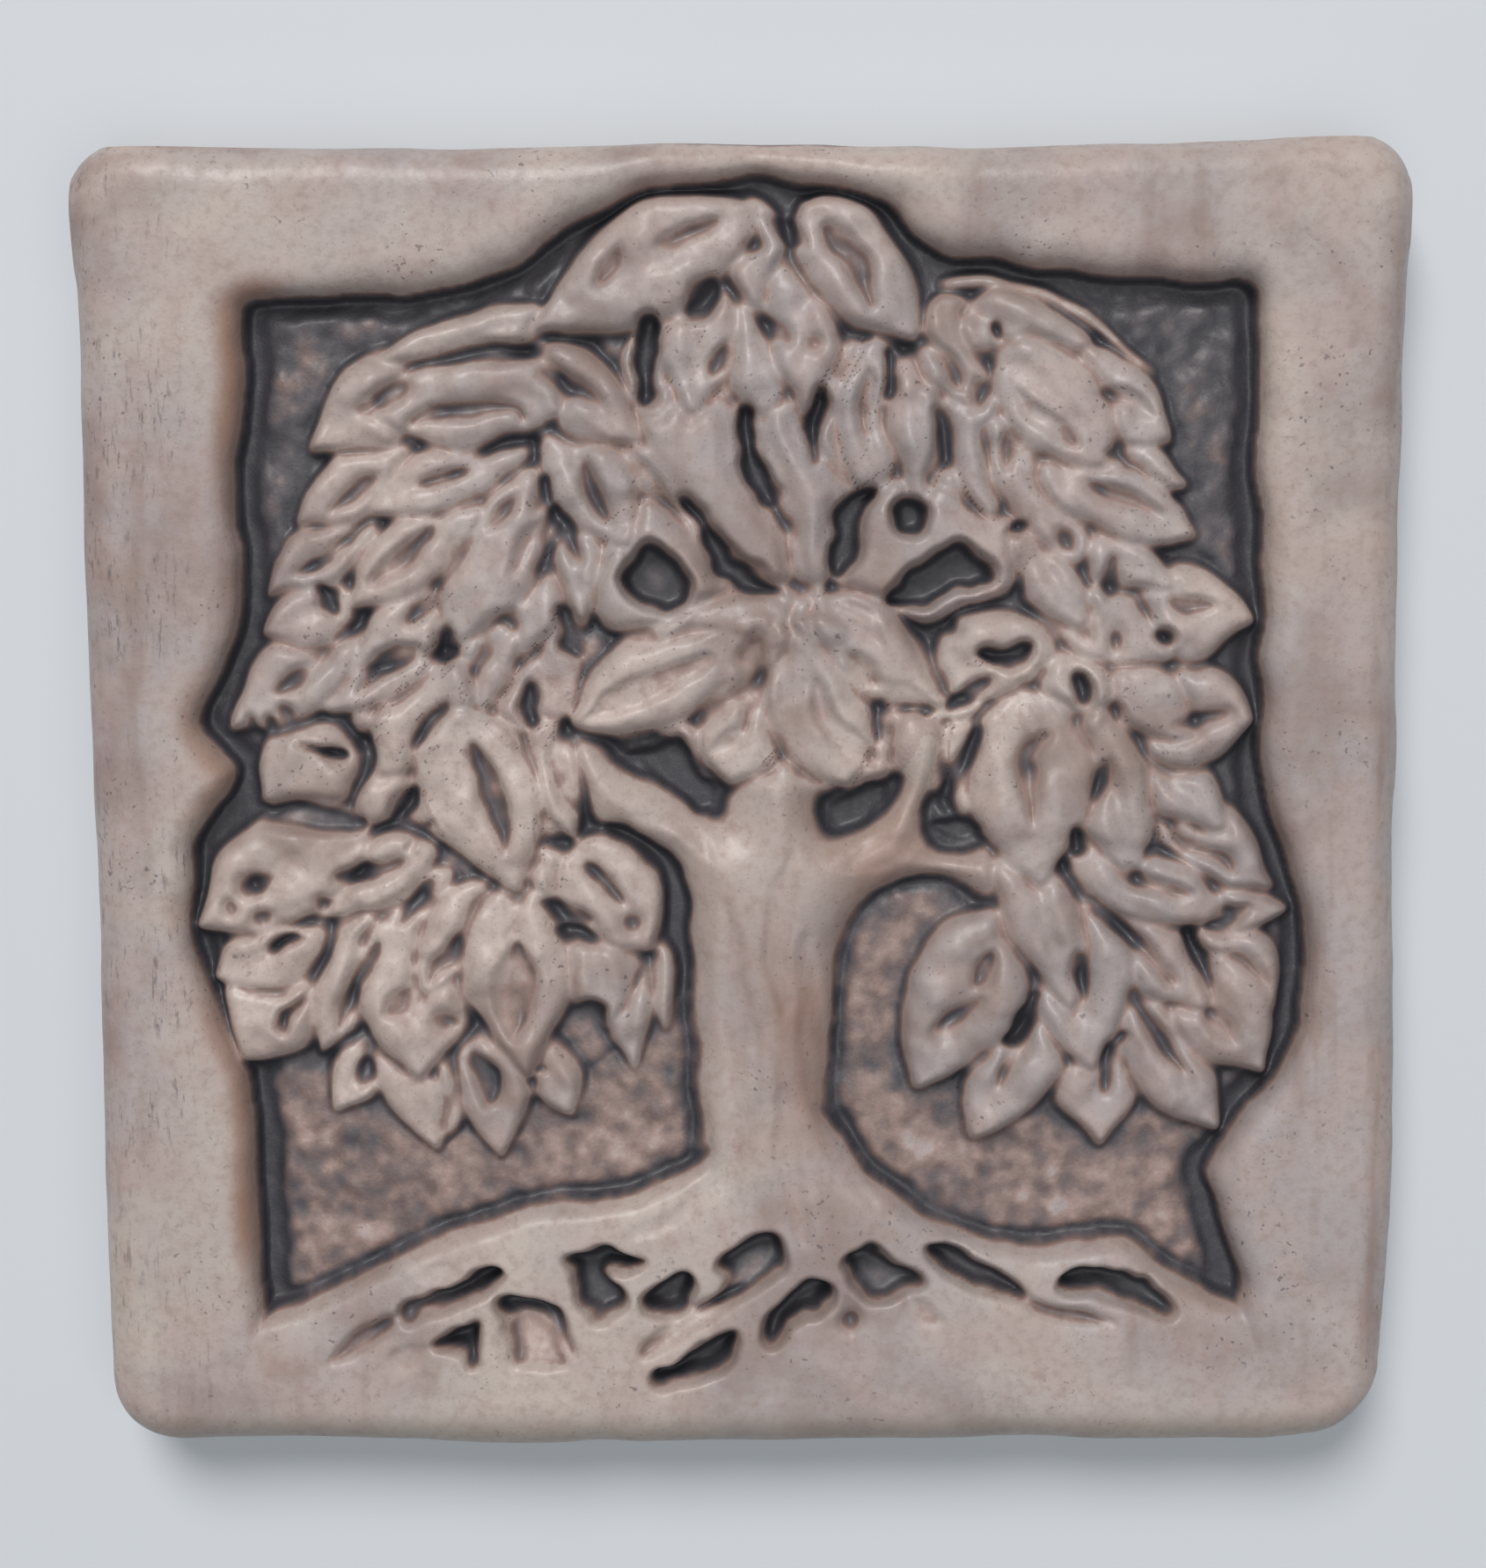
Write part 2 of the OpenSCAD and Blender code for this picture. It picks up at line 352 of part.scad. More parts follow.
module bed() {
  color(shade) difference() {
    slice(slab_thick, bed_top) {
      plan(bed_crown_plan);
      plan(bed_heart_plan);
      plan(bed_left_plan);
      plan(bed_low_left_plan);
      plan(bed_right_plan);
      plan(bed_low_right_plan);
    }
    slice(slab_thick - lap, tall) for (s = wells) bar(s);
    slice(slab_thick - lap, tall) {
      plan(trunk_plan);
      plan(bough_low_left_plan);
      plan(bough_low_right_plan);
      plan(bough_fork_plan);
      plan(bough_up_left_plan);
      plan(bough_up_right_plan);
      plan(bough_side_left_plan);
      plan(bough_side_right_plan);
    }
  }
}

module trunk() {
  stick(trunk_plan, 1.5, -15, 90, 11, trunk_rise);
  stick(bough_low_left_plan, -8, 0.5, 137, 7, trunk_rise - 0.3);
  stick(bough_low_right_plan, 14, -3, 160, 12, trunk_rise - 0.3);
}
module bough_fork() stick(bough_fork_plan, 5, 16, 0, 5, trunk_rise);
module bough_up_left() stick(bough_up_left_plan, -1.5, 25, 118, 8, trunk_rise - 0.3);
module bough_up_right() stick(bough_up_right_plan, 4.5, 24, 95, 6, trunk_rise - 0.2);
module bough_side_left() stick(bough_side_left_plan, -6, 19, 145, 14, trunk_rise - 0.4);
module bough_side_right() stick(bough_side_right_plan, 13, 19, 40, 12, trunk_rise - 0.4);
module root_left() root(root_left_plan, -28, -39, 17);
module root_mid_left() root(root_mid_left_plan, -14, -37, 22);
module root_mid() root(root_mid_plan, 0, -38, 0);
module root_right() root(root_right_plan, 24, -39, -14);

slab();
border();
ground(ground_ul);  // ground_upper_left
ground(ground_ur);  // ground_upper_right
ground(ground_ll);  // ground_lower_left
ground(ground_lr);  // ground_lower_right
bed();
trunk();
bough_fork();
bough_up_left();
bough_up_right();
bough_side_left();
bough_side_right();
root_left();
root_mid_left();
root_mid();
root_right();
sprig(0);  // leaf_heart_1
sprig(1);  // leaf_heart_4
sprig(2);  // leaf_heart_3
sprig(3);  // leaf_heart_2
sprig(4);  // leaves_crown_1
sprig(5);  // leaves_crown_3
sprig(6);  // leaves_crown_2
sprig(7);  // leaves_inner_3
sprig(8);  // leaves_low_left_5
sprig(9);  // leaves_low_left_4
sprig(10);  // leaf_low_left_1
sprig(11);  // leaves_low_left_2
sprig(12);  // leaves_low_left_3
sprig(13);  // leaves_near_trunk
sprig(14);  // leaves_under_left
sprig(15);  // leaves_left_1
sprig(16);  // leaves_inner_1
sprig(17);  // leaves_left_2
sprig(18);  // leaves_left_3
sprig(19);  // leaves_left_5
sprig(20);  // leaves_left_4
sprig(21);  // leaves_left_6
sprig(22);  // leaves_left_8
sprig(23);  // leaves_left_7
sprig(24);  // leaves_inner_2
sprig(25);  // leaves_mid_right_3
sprig(26);  // leaves_low_right_1
sprig(27);  // leaf_low_right_3
sprig(28);  // leaf_low_right_2
sprig(29);  // leaf_low_right_4
sprig(30);  // leaves_low_right_6
sprig(31);  // leaves_low_right_5
sprig(32);  // leaves_right_2
sprig(33);  // leaves_right_1
sprig(34);  // leaves_right_4
sprig(35);  // leaves_right_3
sprig(36);  // leaves_right_5
sprig(37);  // leaves_right_6
sprig(38);  // leaves_mid_right_1
sprig(39);  // leaves_mid_right_2
sprig(40);  // leaves_edge_1
sprig(41);  // leaves_edge_2
sprig(42);  // leaves_edge_3
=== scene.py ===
import math
import random

import bpy
import mathutils
import numpy as np
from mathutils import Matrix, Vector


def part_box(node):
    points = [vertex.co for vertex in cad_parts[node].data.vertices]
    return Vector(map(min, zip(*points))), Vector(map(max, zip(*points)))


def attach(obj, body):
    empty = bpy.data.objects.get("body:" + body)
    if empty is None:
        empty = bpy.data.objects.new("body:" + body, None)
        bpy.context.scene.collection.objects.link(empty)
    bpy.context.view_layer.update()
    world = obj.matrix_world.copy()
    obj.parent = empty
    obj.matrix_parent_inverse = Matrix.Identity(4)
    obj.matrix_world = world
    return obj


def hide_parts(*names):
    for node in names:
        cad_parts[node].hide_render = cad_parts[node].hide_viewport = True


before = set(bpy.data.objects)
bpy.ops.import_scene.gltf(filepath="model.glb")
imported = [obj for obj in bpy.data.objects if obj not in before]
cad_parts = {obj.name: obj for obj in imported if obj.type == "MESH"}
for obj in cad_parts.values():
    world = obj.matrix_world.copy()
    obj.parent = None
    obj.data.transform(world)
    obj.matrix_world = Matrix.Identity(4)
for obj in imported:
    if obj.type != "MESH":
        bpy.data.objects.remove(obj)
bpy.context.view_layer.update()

# --- The sheet of soft clay ------------------------------------------------------------------
# The front of the tile is one relief, worked while the clay is soft: what is laid on later covers
# what lies below, and a modelling tool then cuts and drags it. It is worked here as a height over
# a fine even grid, in millimetres, and the pieces are cut apart from it at the end.

MM = 0.001
STEP = 0.2
SLAB_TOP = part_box("slab")[1].z / MM
BORDER_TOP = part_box("border")[1].z / MM
BED_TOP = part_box("bed")[1].z / MM
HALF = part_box("slab")[1].x / MM
COUNT = 2 * int(round(HALF / STEP)) + 1
axis = (np.arange(COUNT) - COUNT // 2) * STEP
X, Y = np.meshgrid(axis, axis, indexing="ij")
height = np.full((COUNT, COUNT), SLAB_TOP, np.float32)
owner = np.zeros((COUNT, COUNT), np.int16)
names = ["slab"]


def blur(field, size):
    """A soft average of the field over about size mm."""
    pad = int(3 * size / STEP) + 2
    wide = np.pad(field, pad, mode="edge")
    u = np.fft.fftfreq(wide.shape[0])[:, None]
    v = np.fft.rfftfreq(wide.shape[1])[None, :]
    keep = np.exp(-2 * (math.pi * size / STEP) ** 2 * (u * u + v * v))
    soft = np.fft.irfft2(np.fft.rfft2(wide) * keep, s=wide.shape)
    return soft[pad:-pad, pad:-pad].astype(np.float32)


def cloud(size, seed):
    """Soft random lumps about size mm across, with a spread of one."""
    lumps = blur(np.random.default_rng(seed).standard_normal((COUNT, COUNT)), size)
    return lumps / lumps.std()


# Soft clay never takes a true line, so every outline below is laid over this bent grid.
TRUE_X, TRUE_Y = X, Y
X = TRUE_X + 0.2 * cloud(1.3, 1) + 0.25 * cloud(5, 7)
Y = TRUE_Y + 0.2 * cloud(1.3, 2) + 0.25 * cloud(5, 8)


def smooth(x):
    x = np.clip(x, 0, 1)
    return x * x * (3 - 2 * x)


def rounded(points, closed=True, times=2):
    """The outline or line with its corners rounded."""
    p = np.array(points, float)
    for _ in range(times):
        q = np.roll(p, -1, 0)
        if not closed:
            p, q = p[:-1], q[:-1]
        cut = np.stack([0.75 * p + 0.25 * q, 0.25 * p + 0.75 * q], 1).reshape(-1, 2)
        if not closed:
            cut = np.vstack([points[0], cut, points[-1]])
        p = cut
    return p


def patch(points, margin):
    """The part of the grid that lies within margin mm of the points."""
    p = np.array(points, float)
    low = np.searchsorted(axis, p.min(0) - margin)
    high = np.searchsorted(axis, p.max(0) + margin)
    return slice(low[0], high[0]), slice(low[1], high[1])


def along(points, at, closed=False):
    """Distance from a line of points, and how far along it from 0 to 1."""
    p = np.array(points, float)
    q = np.roll(p, -1, 0)
    if not closed:
        p, q = p[:-1], q[:-1]
    near = np.full(X[at].shape, 1e9)
    where = np.zeros(X[at].shape)
    run = np.concatenate([[0], np.cumsum(np.hypot(*(q - p).T))])
    for k in range(len(p)):
        d = q[k] - p[k]
        t = ((X[at] - p[k, 0]) * d[0] + (Y[at] - p[k, 1]) * d[1]) / max(d @ d, 1e-9)
        t = np.clip(t, 0, 1)
        r = (X[at] - p[k, 0] - t * d[0]) ** 2 + (Y[at] - p[k, 1] - t * d[1]) ** 2
        closer = r < near
        near = np.where(closer, r, near)
        where = np.where(closer, (run[k] + t * (run[k + 1] - run[k])) / run[-1], where)
    return np.sqrt(near), where


def within(points, at):
    """Distance inside an outline, negative outside it."""
    far, _ = along(points, at, closed=True)
    inside = np.zeros(X[at].shape, bool)
    p = np.array(points, float)
    for a, b in zip(p, np.roll(p, -1, 0)):
        if a[1] == b[1]:
            continue
        crosses = (a[1] > Y[at]) != (b[1] > Y[at])
        inside ^= crosses & (X[at] < (b[0] - a[0]) * (Y[at] - a[1]) / (b[1] - a[1]) + a[0])
    return np.where(inside, far, -far)


def shoulder(d, radius):
    """A rounded edge: 0 at the rim, 1 from radius inwards."""
    t = np.clip(d / radius, 0, 1)
    return np.sqrt(np.maximum(0, 1 - (1 - t) ** 2))


def lay(at, shape, name):
    """Clay is laid over what is there, wherever it stands higher."""
    if name not in names:
        names.append(name)
    over = shape > height[at]
    height[at] = np.where(over, shape, height[at])
    owner[at] = np.where(over, names.index(name), owner[at])


# --- Ground ----------------------------------------------------------------------------------
# Thin pads of rough clay stand in the recess behind the tree, a little lower than the leaves.
# They are pressed on from crumbs and left torn, and the dark wash stays in their pores.

WINDOW = [(-38.5, 37.5), (-38.3, 39.1), (-36.5, 39.5), (-30, 39.8), (-25, 40), (-22, 40.2),
    (-18, 41.2), (-15, 43), (-12, 45), (-8, 46.6), (-4, 48), (0, 48.6), (5, 48), (9, 47),
    (11.5, 46), (13, 44.5), (14.5, 43), (16, 42), (20, 41.5), (24, 41), (28, 40.3), (33, 40.2),
    (37.8, 40.3), (39.4, 39.6), (39.6, 38), (39.3, 30), (39.5, 22), (39.8, 18), (40.2, 10), (40, 5),
    (40.5, 0), (42, -4), (43.3, -10), (43.6, -15), (43, -19), (41, -22), (38.5, -24.5), (37, -26.5),
    (36.7, -29), (37, -32), (38, -35), (38.7, -37.5), (38.4, -38.8), (38, -44.5), (-38, -44.5),
    (-38.8, -40), (-38.6, -38), (-38.5, -35), (-38.7, -30), (-39, -25), (-38.8, -21), (-39.8, -19),
    (-41, -17), (-42, -14), (-43, -11), (-43.7, -8), (-43.3, -5), (-42.5, -2), (-41, 0.5),
    (-40, 1.5), (-39.1, 3.2), (-40.5, 4.8), (-41.8, 6.3), (-42, 7.5), (-41, 9.5), (-40, 11.5),
    (-39, 14), (-38.6, 17), (-38.6, 22), (-38.7, 30)]
GROUND = ["ground_upper_left", "ground_upper_right", "ground_lower_left", "ground_lower_right"]
GROUND_RISE = 0.95
everywhere = (slice(None), slice(None))
hollow = within(rounded(WINDOW), everywhere)
crumbs = 0.1 * cloud(0.4, 3) + 0.05 * cloud(0.2, 4) + 0.1 * cloud(1.6, 5)
edge = smooth((hollow - 0.8 - 0.3 * cloud(2.5, 9)) / 1.5)
pad = SLAB_TOP + np.maximum(0.12 + (GROUND_RISE - 0.1) * edge + crumbs * (0.4 + 0.6 * edge), 0.03)
for name in GROUND:
    upper, left = "upper" in name, "left" in name
    mine = (hollow > -3) & ((TRUE_Y > -3) == upper) & ((TRUE_X < 1.5) == left)
    lay(everywhere, np.where(mine, pad, 0), name)

# --- Bed -------------------------------------------------------------------------------------
# Low mounds of clay carry the leaves of each clump, so that they stand clear of the recess.
# They are smeared on to the slab with a fingertip and only show between the leaves.

BED = [
    [(-15.5, 38.3), (-14, 40), (-12, 42.3), (-9, 44), (-4, 46), (0, 45.8), (4, 45.6), (8, 45),
        (11.5, 43.3), (13, 41), (13.5, 37), (9, 24.5), (-9, 24.5), (-9.5, 35)],
    [(-15.5, 38.5), (-22, 37.8), (-28, 34.3), (-31.3, 31.3), (-32, 28.5), (-31.5, 24), (-35, 18),
        (-36.5, 12), (-38.5, 7), (-37.2, 4.5), (-37, 1), (-33, -0.2), (-26.5, -2), (-16, -4.5),
        (-12.5, 1), (-12.5, 6.5), (-10, 10.5), (-8, 15), (-8.5, 22), (-9, 24.5), (-9.5, 35)],
    [(-12.5, 6.5), (-10, 10.5), (-8, 13), (0, 13.8), (8, 14.8), (13, 14.2), (15, 9), (13, 3.5),
        (9, 2.8), (5, 3.5), (1.5, 3.2), (-3, 4.2), (-5.5, 5.8), (-10, 5.6)],
    [(-37.5, -2), (-41.5, -8), (-40, -13), (-36.5, -18.5), (-31, -18), (-30, -21), (-26, -25),
        (-20, -25), (-15, -22), (-9, -19), (-6.8, -16), (-7.3, -10), (-7, -6), (-11, -3.5),
        (-16, -4.5), (-26.5, -1), (-31, -1.8)],
    [(13, 36), (14, 38), (22, 38), (27, 34.5), (32, 30), (33, 24), (32.5, 19), (37.5, 16),
        (36, 12), (38, 7.5), (36, 3.5), (39, -3), (24, -5), (19.5, -3.5), (15, 3), (15.5, 9),
        (15, 15), (9, 24.5)],
    [(17.5, -7), (14, -12), (13.8, -20), (18.5, -24.6), (22, -22), (25, -20.5), (28, -24.5),
        (30.5, -21), (34.5, -24), (39.8, -20), (41, -14), (40.5, -7), (39, -3), (24, -5)],
]
smears = 0.25 * cloud(1.0, 6)
for points in BED:
    line = rounded(points)
    at = patch(line, 1)
    d = within(line, at)
    rise = (BED_TOP - SLAB_TOP) * shoulder(d, 1.3) + smears[at] * smooth(d / 1.5)
    lay(at, np.where(d > 0, SLAB_TOP + rise, 0), "bed")

# Higher up, a web of clay fills in round the boughs, where the clumps meet the trunk.
WEB_RISE = 2.9
WEB = [
    [(-12, 12), (-13, 20), (-12, 25), (-9.5, 30), (-9.5, 36), (-5, 39), (0, 38), (8, 37), (13, 34),
        (17, 27), (23, 24), (24, 18), (16.5, 14), (8, 13)],
    [(-14, 7), (-10.5, 4.4), (-5, 5.4), (-1.4, 1), (2, 2), (6, 0.8), (12, 2.6), (18, 3), (18, 9),
        (14, 15), (-10, 13)],
    [(13, 1), (19, -1), (26, -4), (36, -4), (36, 14), (20, 16), (14, 12)],
    [(-30, 6), (-24, -4), (-13, -5), (-12, 10), (-14, 24), (-22, 20), (-33, 12)],
]
for points in WEB:
    line = rounded(points)
    at = patch(line, 1)
    d = within(line, at)
    rise = WEB_RISE * shoulder(d, 1.6) + 0.6 * smears[at] * smooth(d / 1.5)
    lay(at, np.where(d > 0, SLAB_TOP + rise, 0), "bed")

# --- Trunk and boughs ------------------------------------------------------------------------
# The trunk and its boughs are rolls of clay, pressed flat on to the slab and smoothed with a wet
# finger, so that they run into each other without a seam.


def wood(name, points, rise, radius):
    """A roll of clay inside an outline, rounded over within radius of its rim."""
    line = rounded(points)
    at = patch(line, 2)
    d = within(line, at)
    pressed = 0.8 * np.exp(-((d / 0.7) ** 2)) * (d < 0)
    height[at] = np.maximum(height[at] - pressed, SLAB_TOP + 0.05)
    lay(at, np.where(d > 0, SLAB_TOP + rise * shoulder(d, radius), 0), name)


# Each roll: how high it stands, how far in its rim is rounded, and its outline.
WOOD = [
    ("trunk", 4.0, 5.5, [(-4.2, -30), (-4, -27), (-3.8, -20), (-3.9, -15), (-4.3, -12), (-5, -8),
        (-5.7, -6), (-7, -4.3), (-9, -3), (-10.2, -2), (-12.5, -0.5), (-14.2, 3.5), (-13.3, 6.4),
        (-11, 5.4), (-9.7, 3), (-5, 1), (-1.6, -1.3), (-1, 1), (-1.4, 3.5), (2, 5), (7, 4.5),
        (7.3, 1.8), (6, 0.6), (7, -2), (9.5, -1), (11.5, 0.8), (12.4, 2), (11.5, 4), (13, 8), (16, 7),
        (17.5, 5), (16.3, 2), (13.6, -0.8), (14.6, -3), (16.5, -3.6), (18.6, -3.2), (19, -2),
        (20, -3.6), (23, -4.5), (23.5, -8), (21, -9), (17.5, -7), (16, -5.8), (14, -5.3),
        (12, -5.6), (10.3, -6.6), (9, -8), (8, -10), (7.3, -13), (6.8, -18), (6.8, -22),
        (7.5, -25), (9, -27.6), (12, -31), (4, -33)]),
    ("bough_up_left", 3.7, 2.4, [(-1, 17.8), (-3, 20.5), (-5.5, 24), (-8, 27.5), (-9.5, 30.5),
        (-8, 31.5), (-6.5, 31), (-5.8, 33), (-4, 34), (-1.5, 31.5), (-0.4, 31), (-0.2, 28),
        (0.9, 25.2), (2.7, 22.6), (4, 21), (5, 17), (2, 16.4)]),
    ("bough_up_right", 3.8, 2.6, [(4, 17), (3.3, 23), (2, 26.5), (1.2, 30), (1.5, 33.5),
        (4, 31.5), (4.8, 28), (6.6, 26.2), (8.6, 24.6), (7.2, 22), (6.6, 18.3), (6.5, 16.5)]),
    ("bough_side_left", 3.6, 2.4, [(0.5, 16.2), (-1.2, 18.6), (-3, 21.2), (-5.4, 23.6),
        (-8.3, 24.6), (-11, 23), (-12.5, 19), (-12.7, 16.6), (-11.3, 14), (-8, 12), (-2, 13.4)]),
    ("bough_side_right", 3.6, 2.2, [(7, 16.6), (7.6, 18.6), (8.6, 22.2), (9.8, 24.8), (12, 25.5),
        (16, 24.5), (19, 22), (23, 22.6), (23, 19), (20, 16.4), (16, 14.8), (12, 14.2), (8, 14.8)]),
    ("bough_fork", 4.0, 3.0, [(-4, 14.2), (-2, 16.3), (1.5, 16.9), (3.6, 17.2), (7.2, 17.6),
        (10.7, 16.3), (13.5, 14.6), (12, 12.5), (6, 11), (0, 11.5)]),
]
for name, rise, radius, points in WOOD:
    wood(name, points, rise, radius)

# --- Roots -----------------------------------------------------------------------------------
# The roots spread from the foot of the trunk into the bottom of the border. They are one bank of
# clay: the spaces between them are dug out of it later with a narrow loop tool.

BANK = [(-46, -52), (-46, -41), (-41, -40), (-38.5, -39), (-34, -38.3), (-31, -37), (-28, -35.4),
    (-24, -33.6), (-20, -32.2), (-16, -31.2), (-12, -30.3), (-8, -29.6), (-4, -28.6), (-1, -25),
    (4, -23), (7, -24.5), (8.6, -27.2), (10, -29), (12, -30.5), (15, -32.6), (18, -34), (22, -34.8),
    (26, -34.1), (29, -34), (31, -35), (33, -36.5), (35.5, -38), (38.6, -38.8), (41, -40), (46, -41),
    (46, -52)]
wood("root_mid", BANK, BORDER_TOP - SLAB_TOP, 3.4)
ROOTS = {
    "root_left": [(-46, -52), (-46, -36), (-20, -28), (-14.5, -30.8), (-14.5, -35.6), (-19.8, -38.8),
        (-22, -41), (-26, -52)],
    "root_mid_left": [(-14.5, -28), (-4, -27), (-1, -33), (-3, -36.5), (-8, -40), (-10.5, -52),
        (-26, -52), (-22, -41), (-19.8, -38.8), (-14.5, -35.6)],
    "root_right": [(8.6, -26), (46, -32), (46, -52), (9.5, -52), (9.8, -39), (9, -33)],
}
for name, points in ROOTS.items():
    names.append(name)
    mine = (within(points, everywhere) > 0) & (owner == names.index("root_mid"))
    owner[mine] = names.index(name)
wooden = (height > SLAB_TOP + 1.5).astype(np.float32)
joined = blur(np.where(wooden > 0, height, SLAB_TOP + 3.4), 1.5)
height += (joined - height) * smooth((-20 - Y) / 4) * smooth((blur(wooden, 0.9) - 0.7) / 0.25)

# --- Leaves ----------------------------------------------------------------------------------
# Each leaf is a slip of clay pinched to a point and laid over its neighbours from the outside of
# the clump inwards. Its rim presses a fine dark line into what lies under it.

LEAF_RISE = 3.4
LEAF_FOOT = 0.3
LEAF_SKIRT = 0.8
PRESS_DEEP, PRESS_WIDE = 0.8, 0.5


def leaf(name, x, y, turn, long, wide, crest, bend, dish=0.55, point=1.7):
    """A leaf about its middle, pointing to turn; bend curls its tip, dish hollows its middle."""
    c, s = math.cos(math.radians(turn)), math.sin(math.radians(turn))
    end = 0.5 * long + 1
    at = patch([(x - end, y - end), (x + end, y + end)], 0)
    dx, dy = X[at] - x, Y[at] - y
    u = (dx * c + dy * s) / (0.5 * long)
    v = dy * c - dx * s - bend * (u * u - 0.3)
    r = np.abs(u)
    tip = np.maximum(0, 1 - r ** point)
    base = np.maximum(0, 1 - r ** 2.6) ** 0.6
    half = 0.5 * wide * np.where(u > 0, tip, base)
    q = np.abs(v) / np.maximum(half, 1e-3)
    top = SLAB_TOP + LEAF_RISE + crest - np.where(u > 0, 0.55, 0.9) * u * u
    low = BED_TOP + LEAF_FOOT
    over = np.hypot(np.maximum(np.abs(v) - half, 0), np.maximum(r - 1, 0) * 0.5 * long)
    shape = low + (top - low) * np.maximum(0, 1 - q ** 2.4) ** 0.55 - 2.6 * over
    shape -= dish * np.exp(-((v / (0.13 * wide)) ** 2)) * np.maximum(0, 1 - (u + 0.1) ** 2)
    press = PRESS_DEEP * np.exp(-(over / PRESS_WIDE) ** 2) * (np.maximum(q, r) > 0.9)
    height[at] = np.maximum(height[at] - press, SLAB_TOP)
    lay(at, np.where(over < LEAF_SKIRT, shape, 0), name)


